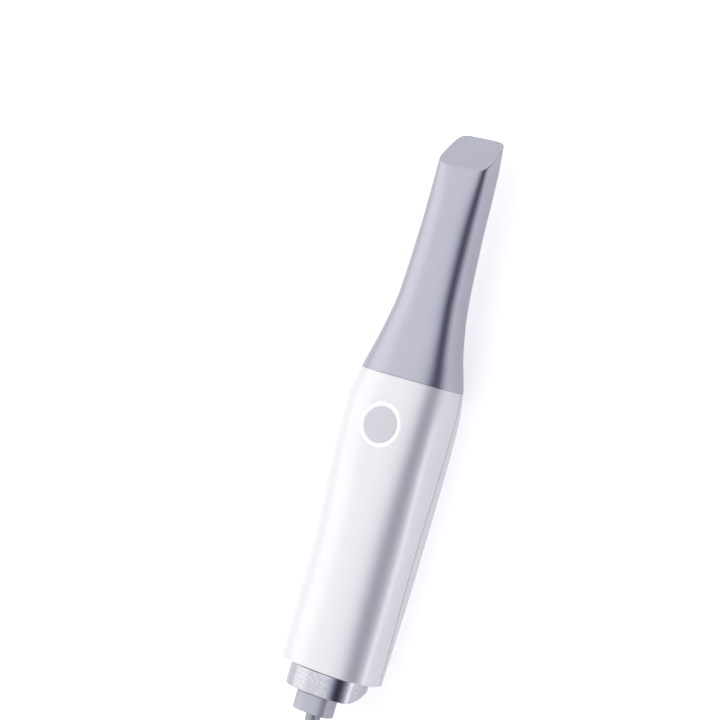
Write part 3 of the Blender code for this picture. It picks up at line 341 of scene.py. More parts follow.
# Repeats the piece that it is put on along a line, each copy a little larger than the last
def makeRepeat():
    tree = bpy.data.node_groups.new("repeatedAlongLine", "GeometryNodeTree")
    sockets = {
        "Piece": "Geometry", "Count": "Int", "First": "Vector", "Step": "Vector",
        "Growth": "Float", "Finish": "Material",
    }
    for name, kind in sockets.items():
        tree.interface.new_socket(name, in_out="INPUT", socket_type="NodeSocket" + kind)
    tree.interface.new_socket("Pieces", in_out="OUTPUT", socket_type="NodeSocketGeometry")
    given = addNode(tree, "NodeGroupInput").outputs
    line = addNode(tree, "GeometryNodeMeshLine", {},
                   {"Count": given["Count"], "Start Location": given["First"], "Offset": given["Step"]})
    index = addNode(tree, "GeometryNodeInputIndex")
    size = addNode(tree, "ShaderNodeMath", {"operation": "MULTIPLY_ADD"},
                   {0: index.outputs[0], 1: given["Growth"], 2: 1.0})
    copies = addNode(tree, "GeometryNodeInstanceOnPoints", {},
                     {"Points": line.outputs[0], "Instance": given["Piece"], "Scale": size.outputs[0]})
    real = addNode(tree, "GeometryNodeRealizeInstances", {}, {0: copies.outputs[0]})
    finished = addNode(tree, "GeometryNodeSetMaterial", {},
                       {"Geometry": real.outputs[0], "Material": given["Finish"]})
    result = addNode(tree, "NodeGroupOutput")
    tree.links.new(finished.outputs[0], result.inputs[0])
    return tree


repeat = makeRepeat()


# A row of equal pieces, the first at a place in millimetres from the tail's foot
def repeated(piece, finish, count, first, step, growth=0.0):
    maker = piece.modifiers.new("repeat", "NODES")
    maker.node_group = repeat
    values = {
        "Count": count, "First": Vector(first) * mm + foot, "Step": Vector(step) * mm,
        "Growth": growth, "Finish": finish,
    }
    for socket in repeat.interface.items_tree:
        if socket.in_out == "INPUT" and socket.name in values:
            maker[socket.identifier] = values[socket.name]
    settle(piece)
    return piece


# Puts pieces of one finish together under the first one's name
def join(piece, *others):
    shape = bmesh.new()
    for part in (piece, *others):
        shape.from_mesh(part.data)
    shape.to_mesh(piece.data)
    shape.free()
    for part in others:
        bpy.data.objects.remove(part, do_unlink=True)
    shade(piece.data)


# A box with eased edges, its corners in millimetres
def makeBlock(name, low, high, finish, ease=0.0, origin=foot):
    (x0, y0, z0), (x1, y1, z1) = low, high
    rows = [
        [Vector((x0, y, z0)), Vector((x1, y, z0)), Vector((x1, y, z1)), Vector((x0, y, z1))]
        for y in (y0, y1)
    ]
    block = makeMesh(name, rows, finish, origin=origin)
    if ease:
        bevelled(block, ease, angle=45, segments=3)
    return block


# A surface finish: fixed values for the shader, then colour drift and relief from the object's own coordinates.
# Drift is a patch's size in mm, the other colour and how far the roughness changes with it.
# Relief is one or more (size in mm, depth in mm)
def finishOf(name, colour, roughness, values, drift, relief=()):
    made = bpy.data.materials.new(name)
    made.use_nodes = True
    tree = made.node_tree
    shader = tree.nodes["Principled BSDF"]
    shader.inputs["Base Color"].default_value = linear(colour)
    shader.inputs["Roughness"].default_value = roughness
    for socket, value in values.items():
        shader.inputs[socket].default_value = value
    where = addNode(tree, "ShaderNodeTexCoord").outputs["Object"]
    size, other, wear = drift
    patches = addNode(tree, "ShaderNodeTexNoise", {}, {"Vector": where, "Scale": 1 / (size * mm), "Detail": 3.0})
    blend = addNode(tree, "ShaderNodeMix", {"data_type": "RGBA"},
                    {"Factor": patches.outputs["Fac"], mixFrom: linear(colour), mixTo: linear(other)})
    tree.links.new(blend.outputs[mixResult], shader.inputs["Base Color"])
    if wear:
        lowNoise, highNoise = 0.3, 0.7
        polish = addNode(tree, "ShaderNodeMapRange", {},
                         {"Value": patches.outputs["Fac"], "From Min": lowNoise, "From Max": highNoise,
                          "To Min": roughness - wear, "To Max": roughness + wear})
        tree.links.new(polish.outputs[0], shader.inputs["Roughness"])
    normal = None
    for size, depth in relief:
        grain = addNode(tree, "ShaderNodeTexNoise", {}, {"Vector": where, "Scale": 1 / (size * mm), "Detail": 2.0})
        bump = addNode(tree, "ShaderNodeBump", {},
                       {"Strength": 1.0, "Distance": depth * mm, "Height": grain.outputs["Fac"]})
        if normal:
            tree.links.new(normal, bump.inputs["Normal"])
        normal = bump.outputs["Normal"]
    if normal:
        tree.links.new(normal, shader.inputs["Normal"])
    return made


# Pearl white lacquer on ABS: white where it faces a lamp, silver grey where it turns away
whitePlastic = finishOf(
    "pearl white lacquered ABS", "#F6F6F8", 0.29, {"Metallic": 0.4, "Coat Weight": 0.3, "Coat Roughness": 0.2},
    drift=(14.0, "#F2F2F5", 0.0),
)
# Pearl lilac grey lacquer: deep along the rounded edge and pale where it faces a lamp
tipPlastic = finishOf(
    "pearl lilac grey lacquered ABS", "#B3B3BF", 0.26,
    {"Metallic": 0.88, "Coat Weight": 0.3, "Coat Roughness": 0.15}, drift=(10.0, "#B0B0BD", 0.0),
)
# Satin polycarbonate: the button's soft, even light grey
buttonPlastic = finishOf(
    "satin light grey polycarbonate", "#F6F6FA", 0.42, {}, drift=(6.0, "#F2F2F7", 0.03), relief=((0.5, 0.003),)
)
# Frosted acrylic light guide with its lamps on low: whiter than the shell round it
ringAcrylic = finishOf(
    "frosted white acrylic", "#FBFBFD", 0.35,
    {"Emission Color": linear("#FFFFFF"), "Emission Strength": 0.35, "IOR": 1.49}, drift=(4.0, "#F6F6FA", 0.03),
)
# Bead-blasted anodised aluminium: a sheen broken up by a coarse sparkle, drawn at 0.5 mm so that it shows
blastedAluminium = finishOf(
    "bead-blasted anodised aluminium", "#E6E6EC", 0.15, {"Metallic": 1.0},
    drift=(0.5, "#8E8E9A", 0.06), relief=((0.45, 0.009), (0.2, 0.006)),
)
# Glass-filled nylon: a dull moulded block that only shades softly
glandNylon = finishOf(
    "glass-filled grey nylon", "#C0C1CC", 0.38, {"Metallic": 0.45},
    drift=(3.0, "#BCBDC9", 0.03), relief=((0.3, 0.006),),
)
# TPE cable jacket: satin skin with a slight flow along the lead
jacket = finishOf(
    "extruded grey TPE", "#AEAFBA", 0.36, {"Metallic": 0.35},
    drift=(9.0, "#A8A9B4", 0.04), relief=((0.8, 0.008), (0.2, 0.003)),
)
# TPE overmould: charcoal with a spark-eroded grain
overmould = finishOf(
    "spark-eroded charcoal TPE", "#3A3B42", 0.5, {}, drift=(5.0, "#33343A", 0.05), relief=((0.35, 0.012),)
)
# Nickel plate on folded steel: crisp and cold, with a faint unevenness from the rolls
nickel = finishOf(
    "nickel-plated steel", "#C8C8C6", 0.22, {"Metallic": 1.0}, drift=(2.0, "#BDBDBB", 0.06), relief=((0.4, 0.002),)
)
# Black polyamide: deep and dull, with a fine grain
blackNylon = finishOf(
    "black polyamide", "#17181B", 0.48, {}, drift=(3.0, "#1D1E22", 0.05), relief=((0.3, 0.006),)
)
# Woven hook-and-loop strap: black threads that catch a dull light
wovenStrap = finishOf(
    "woven black polyester", "#202126", 0.7, {"Sheen Weight": 0.3}, drift=(0.8, "#2C2D33", 0.05),
    relief=((0.45, 0.05), (0.2, 0.02)),
)
# Front-surface mirror: shows what the window sees, cleanly
mirrorGlass = finishOf("front-surface mirror", "#DDE0E6", 0.03, {"Metallic": 1.0}, drift=(5.0, "#D6DAE2", 0.01))
# Coated glass: a dark pane with a blue bloom
coatedGlass = finishOf(
    "anti-reflection coated glass", "#1B2A3A", 0.04, {"Coat Weight": 0.6, "Coat Tint": linear("#9FC8FF")},
    drift=(6.0, "#22344A", 0.01),
)
# Black silicone: soft, eats the light
silicone = finishOf(
    "moulded black silicone", "#101012", 0.6, {}, drift=(2.0, "#16161A", 0.05), relief=((0.3, 0.004),)
)
# Solder mask over copper: satin green
solderMask = finishOf(
    "green solder mask", "#1F5B35", 0.32, {"Coat Weight": 0.3}, drift=(3.0, "#26693E", 0.05), relief=((0.9, 0.01),)
)
# Milled aluminium: bright, with small patches that the cutter left duller
milledAluminium = finishOf(
    "milled aluminium", "#BFC0C4", 0.3, {"Metallic": 1.0}, drift=(1.5, "#B0B1B6", 0.08), relief=((0.3, 0.006),)
)
# Natural nylon: warm cream, a little waxy
creamNylon = finishOf("natural nylon", "#DCD3B8", 0.45, {}, drift=(4.0, "#D5CBAE", 0.04), relief=((0.4, 0.004),))
# Gold flash on the contacts: a warm yellow glint
goldFlash = finishOf("gold flash on copper", "#D9B25C", 0.25, {"Metallic": 1.0}, drift=(1.0, "#C9A24C", 0.05))
print("finishes made")


# Gives CAD pieces that keep their form a finish
def dress(finish, *names):
    for name in names:
        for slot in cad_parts[name].material_slots:
            slot.material = finish


# Ties a new piece to its body and hides the CAD pieces that it stands for
def mount(piece, slot, *replaced, body="handle"):
    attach(piece, body)
    if replaced:
        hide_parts(*replaced)


# The lead: straight out of the gland, six turns round the hank and over the tie to its plug.
# Start, leave and shift are in turns of the hank
lead = {
    "diameter": 5.6,
    "route": [
        (0.0, -15.0, 18.2), (0.2, -18.9, 18.1), (0.8, -22.8, 17.9), (1.7, -26.4, 17.6),
        (3.6, -30.2, 17.2), (7.0, -34.0, 16.4), (11.4, -37.4, 15.2),
    ],
    "endRoute": [
        (13.4, -77.0, 19.9), (10.6, -85.0, 20.1), (7.6, -91.0, 20.7), (4.6, -96.4, 21.3),
        (2.2, -101.8, 21.7), (0.7, -107.0, 21.8), (0.1, -112.0, 21.7), (0.0, -115.9, 21.7),
    ],
    "hankBack": 31.0,
    "run": 100.0,
    "pinch": 5.9,
    "foldRadius": 19.6,
    "layers": 3,
    "pointsPerTurn": 40,
    "roundSteps": 5,
    "alongSteps": 4,
    "start": 0.95,
    "leave": 7.02,
    "shift": 0.12,
}


# A place on the hank's path: right run, far fold, left run and near fold make one turn
def hankPoint(turn, offset):
    foldRadius, run, pinch = lead["foldRadius"], lead["run"], lead["pinch"]
    fold = math.pi * foldRadius
    along = (turn % 1.0) * 2 * (run + fold)
    near = -lead["hankBack"] - foldRadius - lead["diameter"]
    far = near - run
    reach = foldRadius + offset
    if along < run or run + fold <= along < 2 * run + fold:
        right = along < run
        distance = along if right else along - run - fold
        fromWaist = 2 * distance / run - 1
        u = abs(fromWaist)
        x = pinch + (foldRadius - pinch) * u * u * (3 - 2 * u)
        slope = 12 * (foldRadius - pinch) / run * u * (1 - u) * math.copysign(1, fromWaist)
        length = math.hypot(1, slope)
        side = 1 if right else -1
        y = near - distance if right else far + distance
        return side * (x + offset / length), y + side * offset * slope / length
    if along < run + fold:
        angle = (along - run) / foldRadius
        return reach * math.cos(angle), far - reach * math.sin(angle)
    angle = (along - 2 * run - fold) / foldRadius
    return -reach * math.cos(angle), near + reach * math.sin(angle)


# The whole centreline: down the outer column of the hank, then up the inner one
def leadPath():
    diameter, layers = lead["diameter"], lead["layers"]
    start, shift = lead["start"], lead["shift"]
    turns = lead["leave"] - start
    points = [Vector(p) for p in lead["route"]]
    count = round(turns * lead["pointsPerTurn"])
    for k in range(1, count + 1):
        turn = start + turns * k / count
        whole = math.floor(turn - start)
        changed = softStep((turn - start - whole - (1 - shift)) / shift)
        level = max(layers - 1 - whole - changed, 0.0) if whole < layers else whole - layers + changed
        inward = softStep((turn - start - layers) / shift)
        x, y = hankPoint(turn, diameter * (0.5 - inward))
        points.append(Vector((x, y, diameter * (0.5 + level))))
    return points + [Vector(p) for p in lead["endRoute"]]


# One smooth tube along the whole path
def makeLead():
    data = bpy.data.curves.new("cableLead", "CURVE")
    data.dimensions = "3D"
    data.bevel_depth = lead["diameter"] / 2 * mm
    data.bevel_resolution = lead["roundSteps"]
    data.use_fill_caps = True
    data.resolution_u = lead["alongSteps"]
    path = leadPath()
    run = data.splines.new("BEZIER")
    run.bezier_points.add(len(path) - 1)
    for knot, point in zip(run.bezier_points, path):
        knot.co = point * mm + foot
        knot.handle_left_type = knot.handle_right_type = "AUTO"
    made = bpy.data.objects.new("cableLead", data)
    scene.collection.objects.link(made)
    data.materials.append(jacket)
    length = sum((b - a).length for a, b in zip(path, path[1:]))
    print("lead made,", round(length), "mm")
    return made


# The two white shells: crowned, hollow and parted along their sides.
# The nose's root is the half width and half height of what their front wall holds
shells = {
    "wall": 2.0,
    "frontWall": 3.0,
    "noseRoot": (13.2, 9.8),
    "tailRounding": 0.5,
    "roundingSteps": 6,
    "rowStep": 1.25,
    "frontRowStep": 0.75,
    "cavityRowBack": 0.2,
    "acrossOuter": 96,
    "acrossInner": 40,
    "edge": 0.16,
    "sharp": 50,
}


# Points of one side of an outline, from the parting height on the right round to the left.
# The outline climbs with the angle on the right, so halving finds the parting
def arcPoints(point, height, side, count):
    low, high, halvings = -1.4, 1.4, 30
    for _ in range(halvings):
        middle = (low + high) / 2
        if point(middle).z < height:
            low = middle
        else:
            high = middle
    start = (low + high) / 2
    if side > 0:
        angles = [start + (math.pi - 2 * start) * i / count for i in range(count + 1)]
    else:
        angles = [start - (math.pi + 2 * start) * i / count for i in range(count + 1)]
    return [point(angle) for angle in angles]


# One closed section of a shell: the skin's arc, then the inside's arc back
def shellRow(at, inset, innerAt, inner, side):
    height = parting(at) + side * gap / 2
    outerArc = arcPoints(lambda a: skinPoint(a, at, inset), height, side, shells["acrossOuter"])
    innerHeight = parting(innerAt) + side * gap / 2
    innerArc = arcPoints(lambda a: inner(a, innerAt), innerHeight, side, shells["acrossInner"])
    return outerArc + innerArc[::-1]


# All the sections of one shell, from the tail to the joint: round the ring's spigot, hollow, round the nose
def shellRows(side):
    wall, rounding, steps = shells["wall"], shells["tailRounding"], shells["roundingSteps"]
    inset = tailRing["spigotInset"] - closeGap
    spigot = outline(
        tailRing["halfWidth"] - inset, tailRing["halfHeight"] - inset, tailRing["height"], tailRing["square"]
    )
    noseHalfWidth, noseHalfHeight = shells["noseRoot"]
    nosePass = outline(noseHalfWidth + gap, noseHalfHeight + gap, jointMiddle, innerSquareness(handleLength))

    def cavity(angle, at):
        return skinPoint(angle, at, wall)

    cavityEnd = handleLength - shells["frontWall"]
    rows = []
    for k, a in enumerate(quarterTurn(steps)):
        along, inward = rounding * (1 - math.cos(a)), rounding * (1 - math.sin(a))
        rows.append(shellRow(along, inward, wall * k / steps, spigot, side))
    for at in spread(rounding, cavityEnd, shells["rowStep"])[1:-1]:
        rows.append(shellRow(at, 0.0, max(at, wall), cavity, side))
    rows.append(shellRow(cavityEnd - shells["cavityRowBack"], 0.0, cavityEnd, cavity, side))
    for at in spread(cavityEnd, handleLength, shells["frontRowStep"]):
        rows.append(shellRow(at, 0.0, at, nosePass, side))
    return rows


# Both shells, the button's hole with its flare cut in the front one
def makeShells():
    made = []
    for name, side in (("frontShell", 1), ("rearShell", -1)):
        shell = makeMesh(name, shellRows(side), whitePlastic, sharp=shells["sharp"])
        bevelled(shell, shells["edge"], shells["sharp"])
        made.append(shell)
    radius = button["radius"] + button["fit"] + button["ringWidth"] + button["fit"]
    below, above, flare = -button["holeBelow"], button["holeAbove"], button["holeFlare"]
    wide = radius + flare
    profile = [(0.0, below), (radius, below), (radius, 0.0), (wide, flare), (wide, above), (0.0, above)]
    hole = turnedRows(profile, (0, button["at"], button["top"]), button["across"])
    cut(made[0], makeMesh("buttonHole", hole, None))
    return made


# The button: a crowned cap with a flange below, and the white ring round it.
# The edge is (in from the radius, along) from the crown to the side
button = {
    "at": 93.4,
    "top": 29.95,
    "radius": 6.94,
    "fit": 0.15,
    "crown": 0.10,
    "sunk": 0.02,
    "crownShares": (0.0, 0.2, 0.4, 0.6, 0.8, 0.92),
    "edge": [(0.32, -0.01), (0.16, -0.05), (0.05, -0.16), (0.0, -0.34)],
    "ringWidth": 1.35,
    "ringDepth": 3.4,
    "ringEase": 0.18,
    "lipThickness": 0.7,
    "lipWidth": 0.9,
    "flangeRadius": 7.7,
    "nubRadius": 1.6,
    "nubLength": 0.4,
    "holeBelow": 6.0,
    "holeAbove": 2.0,
    "holeFlare": 0.15,
    "across": 128,
}


# The light grey cap and the white ring round it
def makeButton():
    radius, depth, across = button["radius"], button["ringDepth"], button["across"]
    centre = (0, button["at"], button["top"])
    flange = -depth - gap
    low = flange - button["lipThickness"]
    nub = low - button["nubLength"]
    crown = [(radius * t, button["crown"] * (1 - t * t) - button["sunk"]) for t in button["crownShares"]]
    edge = [(radius - inward, along) for inward, along in button["edge"]]
    under = [(radius, flange), (button["flangeRadius"], flange), (button["flangeRadius"], low),
             (button["nubRadius"], low), (button["nubRadius"], nub), (0.0, nub)]
    cap = makeMesh("buttonCap", turnedRows(crown + edge + under, centre, across), buttonPlastic)
    inner = radius + button["fit"]
    outer = inner + button["ringWidth"]
    lip = outer + button["lipWidth"]
    lipTop = -depth + button["lipThickness"]
    section = eased(
        [(inner, 0.0), (outer, 0.0), (outer, lipTop), (lip, lipTop), (lip, -depth), (inner, -depth)],
        button["ringEase"],
    )
    guide = makeMesh("lightRing", turnedRows(section, centre, across), ringAcrylic, wrapRows=True)
    return cap, guide


# The slip-on tip: a hollow sleeve with a slanted head and a window in its belly
tip = {
    "fit": 0.12,
    "wall": 1.4,
    "headWall": 1.96,
    "rounding": 0.5,
    "roundingSteps": 6,
    "mouthEase": 0.08,
    "mouthAngle": 60,
    "sharp": 42,
    "across": 144,
    "slantLength": 30.0,
    "slantRowsInside": 4,
    "slantRowsOutside": 28,
    "rowStepInside": 3.0,
    "rowStepOutside": 0.9,
    "windowHalfWidth": 7.7,
    "windowStart": 78.7,
    "windowEnd": 91.2,
    "windowCorner": 0.9,
    "windowBelow": 3.0,
    "windowLip": 0.3,
    "windowSharp": 30,
    "chamfer": 0.45,
    "chamferHeight": 0.405,
}


# One loop of the sleeve where its head leans back
def slantRow(base, share, inset):
    return ring(lambda angle: slantPoint(angle, base, share, inset), tip["across"])


# The sleeve in one piece: inside from the head to the mouth, then outside back to the head
def makeTip():
    wall, rounding, across = tip["wall"], tip["rounding"], tip["across"]
    start, slantFrom = handleLength + tip["fit"], headEnd - tip["slantLength"]
    floor, last = headEnd - tip["headWall"], headEnd - rounding
    rows = []
    for k in range(tip["slantRowsInside"]):
        t = 1 - k / tip["slantRowsInside"]
        rows.append(slantRow(slantFrom + (floor - slantFrom) * t, t, wall))
    for at in reversed(spread(start, slantFrom, tip["rowStepInside"])):
        rows.append(ring(lambda a: skinPoint(a, at, wall), across))
    for at in spread(start, slantFrom, tip["rowStepOutside"]):
        rows.append(ring(lambda a: skinPoint(a, at), across))
    for k in range(1, tip["slantRowsOutside"] + 1):
        t = k / tip["slantRowsOutside"]
        rows.append(slantRow(slantFrom + (last - slantFrom) * t, t, 0.0))
    for a in quarterTurn(tip["roundingSteps"])[1:]:
        rows.append(slantRow(last + rounding * math.sin(a), 1.0, rounding * (1 - math.cos(a))))
    sleeve = makeMesh("tipSleeve", rows, tipPlastic, sharp=tip["sharp"])
    bevelled(sleeve, tip["mouthEase"], tip["mouthAngle"])
    cut(sleeve, makeWindow())
    return sleeve


# What the window takes out of the sleeve: a rounded rectangle along the belly, chamfered outside
def makeWindow():
    low, high = handleLength + tip["windowStart"], handleLength + tip["windowEnd"]
    middle, halfLength, halfAcross = (low + high) / 2, (high - low) / 2, tip["windowHalfWidth"]
    slope = (belly(high) - belly(low)) / (high - low)
    cornerSteps = 6

    def windowRow(height, grow):
        points = []
        corner = tip["windowCorner"] + grow
        for turn in range(4):
            sideX = 1 if turn in (0, 3) else -1
            sideY = 1 if turn in (0, 1) else -1
            for k in range(cornerSteps + 1):
                a = (turn + k / cornerSteps) * math.pi / 2
                x = sideX * (halfAcross + grow - corner) + corner * math.cos(a)
                y = sideY * (halfLength + grow - corner) + corner * math.sin(a)
                points.append(Vector((x, middle + y, belly(middle) + slope * y + height)))
        return points

    chamfer, lip = tip["chamfer"], tip["windowLip"]
    rows = [windowRow(-tip["windowBelow"], chamfer), windowRow(-lip, chamfer),
            windowRow(tip["chamferHeight"], 0.0), windowRow(tip["wall"] + lip, 0.0)]
    return makeMesh("scanWindow", rows, None, sharp=tip["windowSharp"])


# The blasted ring: a cup on a spigot in the shells, whose end falls back towards the land side
tailRing = {
    "length": 8.4,
    "halfWidth": 15.3,
    "halfHeight": 12.2,
    "height": tailMiddle,
    "square": 2.3,
    "across": 128,
    "wall": 3.0,
    "endWall": 1.8,
    "rounding": 0.45,
    "roundingSteps": 5,
    "mouthRounding": 0.2,
    "mouthRow": 0.3,
    "endRows": 8,
    "fall": 5.0,
    "fallTop": 22.5,
    "fallFoot": 8.5,
    "spigotInset": 2.1,
    "spigotLip": 0.9,
    "lipLength": 1.6,
}
ringEnd = -gap - tailRing["length"]
ringInside = ringEnd + tailRing["endWall"]


# How far the ring's end falls back towards the handle at a height: nothing at the button side
def ringFall(height):
    start, end = tailRing["fallTop"], tailRing["fallFoot"]
    return tailRing["fall"] * softStep((start - height) / (start - end))


# A row moved back with the ring's sloping end
def fallen(row):
    return [Vector((p.x, p.y + ringFall(p.z), p.z)) for p in row]


# The ring in one closed skin: the gland's hole, the end, the side, the spigot and the hollow
def makeRing():
    rounding, mouth, wall = tailRing["rounding"], tailRing["mouthRounding"], tailRing["wall"]
    spigot, lip = tailRing["spigotInset"], tailRing["spigotInset"] - tailRing["spigotLip"]
    lipStart = shells["wall"] + gap
    lipEnd = lipStart + tailRing["lipLength"]
    turns = quarterTurn(tailRing["roundingSteps"])
    shares = [k / tailRing["endRows"] for k in range(1, tailRing["endRows"])]
    hole = {**gland, "across": tailRing["across"]}
    neck = gland["neckInset"] - closeGap

    def row(at, inset):
        return outlineRow(tailRing, at, inset)

    def between(start, end):
        return [fallen([a.lerp(b, share) for a, b in zip(start, end)]) for share in shares]

    rows = [fallen(outlineRow(hole, ringInside, neck)), fallen(outlineRow(hole, ringEnd, neck))]
    rows += between(outlineRow(hole, ringEnd, neck), row(ringEnd, rounding))
    for a in turns[::-1]:
        rows.append(fallen(row(ringEnd + rounding * (1 - math.sin(a)), rounding * (1 - math.cos(a)))))
    rows.append(row(-gap - tailRing["mouthRow"], 0.0))
    rows += [row(-gap - mouth * (1 - math.sin(a)), mouth * (1 - math.cos(a))) for a in turns]
    rows += [row(-gap, spigot), row(lipStart, spigot), row(lipStart, lip), row(lipEnd, lip)]
    rows += [row(lipEnd, wall), fallen(row(ringInside, wall))]
    rows += between(row(ringInside, wall), outlineRow(hole, ringInside, neck))
    return makeMesh("tailRing", rows, blastedAluminium, wrapRows=True)


# The grey gland: a rounded block against the ring's end, with a neck and a lip inside the ring
gland = {
    "length": 7.0,
    "halfWidth": 7.7,
    "halfHeight": 5.5,
    "height": 19.2,
    "square": 2.9,
    "across": 96,
    "rounding": 0.5,
    "roundingSteps": 5,
    "faceEase": 0.15,
    "neckInset": 2.2,
    "lipInset": 1.4,
    "lipLength": 1.0,
}


# The gland from its outer end to its lip; what faces the ring follows the slope of the ring's end
def makeGland():
    face, rounding, ease = ringEnd - gap, gland["rounding"], gland["faceEase"]
    outerEnd, neck, lipInset = face - gland["length"], gland["neckInset"], gland["lipInset"]
    lip = ringInside + closeGap
    lipEnd = lip + ringFall(gland["height"] - gland["halfHeight"] + lipInset) + gland["lipLength"]
    rows = []
    for a in quarterTurn(gland["roundingSteps"]):
        rows.append(outlineRow(gland, outerEnd + rounding * (1 - math.cos(a)), rounding * (1 - math.sin(a))))
    for at, inset in ((face - ease, 0.0), (face, ease), (face, neck), (lip, neck), (lip, lipInset)):
        rows.append(fallen(outlineRow(gland, at, inset)))
    rows.append(outlineRow(gland, lipEnd, lipInset))
    return makeMesh("cableGland", rows, glandNylon)


# The plug's relief: a tapered sleeve with ribs that grow a little along it
plugHeight = 21.7
strainRelief = {
    "start": -116.2,
    "end": -128.2,
    "radii": (3.1, 3.5),
    "ease": 0.4,
    "ribs": 6,
    "ribRadius": 3.65,
    "ribWidth": 1.0,
    "ribSunk": 0.6,
    "ribEase": 0.3,
    "ribsFrom": 1.6,
    "ribStep": 1.75,
    "ribGrowth": 0.012,
    "across": 64,
}


# The sleeve and its ribs
def makeRelief():
    sizes = strainRelief
    start, end, across = sizes["start"], sizes["end"], sizes["across"]
    narrow, wide = sizes["radii"]
    profile = eased([(0.0, start), (narrow, start), (wide, end), (0.0, end)], sizes["ease"], closed=False)
    sleeve = makeMesh("plugRelief", turnedRows(profile, (0, 0, plugHeight), across, "y"), overmould)
    half, radius, sunk = sizes["ribWidth"] / 2, sizes["ribRadius"], narrow - sizes["ribSunk"]
    section = eased([(sunk, -half), (radius, -half), (radius, half), (sunk, half)], sizes["ribEase"])
    rib = makeMesh(
        "reliefRibs", turnedRows(section, (0, 0, 0), across, "y"), None, wrapRows=True, origin=Vector()
    )
    first, step = (0, start - sizes["ribsFrom"], plugHeight), (0, -sizes["ribStep"], 0)
    join(sleeve, repeated(rib, overmould, sizes["ribs"], first, step, sizes["ribGrowth"]))
    return sleeve


# The plug's body: a rounded block with a row of grip bars above and below
grip = {
    "start": -128.5,
    "end": -152.5,
    "halfWidth": 8.0,
    "halfHeight": 3.9,
    "height": plugHeight,
    "square": 4.5,
    "across": 96,
    "rounding": 1.1,
    "roundingSteps": 6,
    "bars": 7,
    "barHalf": Vector((5.0, 0.35, 0.25)),
    "barEase": 0.2,
    "barRise": 0.02,
    "barsFrom": 6.6,
    "barStep": 1.6,
}


# The block and its bars
def makeGrip():
    rounding, first, last = grip["rounding"], grip["start"], grip["end"]
    turns = quarterTurn(grip["roundingSteps"])
    rows = []
    for end, angles in ((first, turns[::-1]), (last, turns)):
        side = -1 if end == first else 1
        for a in angles:
            rows.append(outlineRow(grip, end + side * rounding * (1 - math.sin(a)), rounding * (1 - math.cos(a))))
    block = makeMesh("plugBody", rows, overmould)
    bars = []
    for side in (1, -1):
        bar = makeBlock("grip", -grip["barHalf"], grip["barHalf"], None, grip["barEase"], Vector())
        start = (0, first - grip["barsFrom"], plugHeight + side * (grip["halfHeight"] + grip["barRise"]))
        bars.append(repeated(bar, overmould, grip["bars"], start, (0, -grip["barStep"], 0)))
    join(block, *bars)
    return block


# The plug's folded shell with its four latch holes
sheath = {
    "start": -152.7,
    "end": -171.5,
    "halfWidth": 6.0,
    "halfHeight": 2.25,
    "height": plugHeight,
    "square": 12.0,
    "across": 96,
    "sharp": 50,
    "sheet": 0.3,
    "latchHalf": Vector((1.1, 1.25, 0.6)),
    "latchAside": 2.9,
}


# A cup of sheet metal, open at its outer end, with the holes cut through
def makeSheath():
    first, last, sheet = sheath["start"], sheath["end"], sheath["sheet"]
    rows = [outlineRow(sheath, at, inset) for at, inset in
            ((first, 0.0), (last, 0.0), (last, sheet), (first - sheet, sheet))]
    metal = makeMesh("plugShell", rows, nickel, sharp=sheath["sharp"])
    for side in (1, -1):
        for x in (-sheath["latchAside"], sheath["latchAside"]):
            middle = Vector((x, (first + last) / 2, plugHeight + side * sheath["halfHeight"]))
            low, high = middle - sheath["latchHalf"], middle + sheath["latchHalf"]
            cut(metal, makeBlock("latchHole", low, high, None))
    return metal


# The plug's tongue and the gold contacts along it
tongue = {
    "halfWidth": 5.4,
    "inset": 0.5,
    "lift": 0.45,
    "top": 0.3,
    "ease": 0.15,
    "contacts": 4,
    "contactLow": (-0.55, -4.2, -0.03),
    "contactHigh": (0.55, 4.2, 0.07),
    "contactEase": 0.03,
    "contactRise": 0.01,
    "contactsFrom": 6.2,
    "contactStep": 2.4,
}


# The black tongue inside the shell, and its contacts as one piece
def makeTongue():
    first, last, side = sheath["start"], sheath["end"], tongue["halfWidth"]
    upper = plugHeight + tongue["top"]
    low = (-side, last + tongue["inset"], plugHeight - sheath["halfHeight"] + tongue["lift"])
    board = makeBlock("plugTongue", low, (side, first - tongue["inset"], upper), blackNylon, tongue["ease"])
    pad = makeBlock(
        "contact", tongue["contactLow"], tongue["contactHigh"], None, tongue["contactEase"], Vector()
    )
    count, step = tongue["contacts"], tongue["contactStep"]
    start = (-(count - 1) / 2 * step, last + tongue["contactsFrom"], upper + tongue["contactRise"])
    contacts = repeated(pad, goldFlash, count, start, (step, 0, 0))
    contacts.name = "plugContacts"
    return board, contacts


cableLead = makeLead()
mount(cableLead, "lead_jacket", "cable", "cable_hank", "cable_end")

frontShell, rearShell = makeShells()
mount(frontShell, "white_plastic", "front_shell")
mount(rearShell, "white_plastic", "rear_shell")
print("shells made")

buttonCap, lightRing = makeButton()
mount(buttonCap, "light_grey_plastic", "button_cap", body="button")
mount(lightRing, "white_light_guide", "button_light_ring")
print("button made")

mount(makeTip(), "lilac_grey_plastic", "tip_sleeve", body="tip")
print("tip made")

mount(makeRing(), "blasted_aluminium", "tail_ring")
mount(makeGland(), "grey_plastic", "cable_gland")
print("tail made")

plugRelief, plugBody, plugShell = makeRelief(), makeGrip(), makeSheath()
plugTongue, plugContacts = makeTongue()
mount(plugRelief, "dark_soft_plastic", "plug_relief")
mount(plugBody, "dark_soft_plastic", "plug_body")
mount(plugShell, "plated_steel", "plug_shell")
mount(plugTongue, "black_plastic", "plug_tongue")
mount(plugContacts, "plated_steel")
print("plug made")

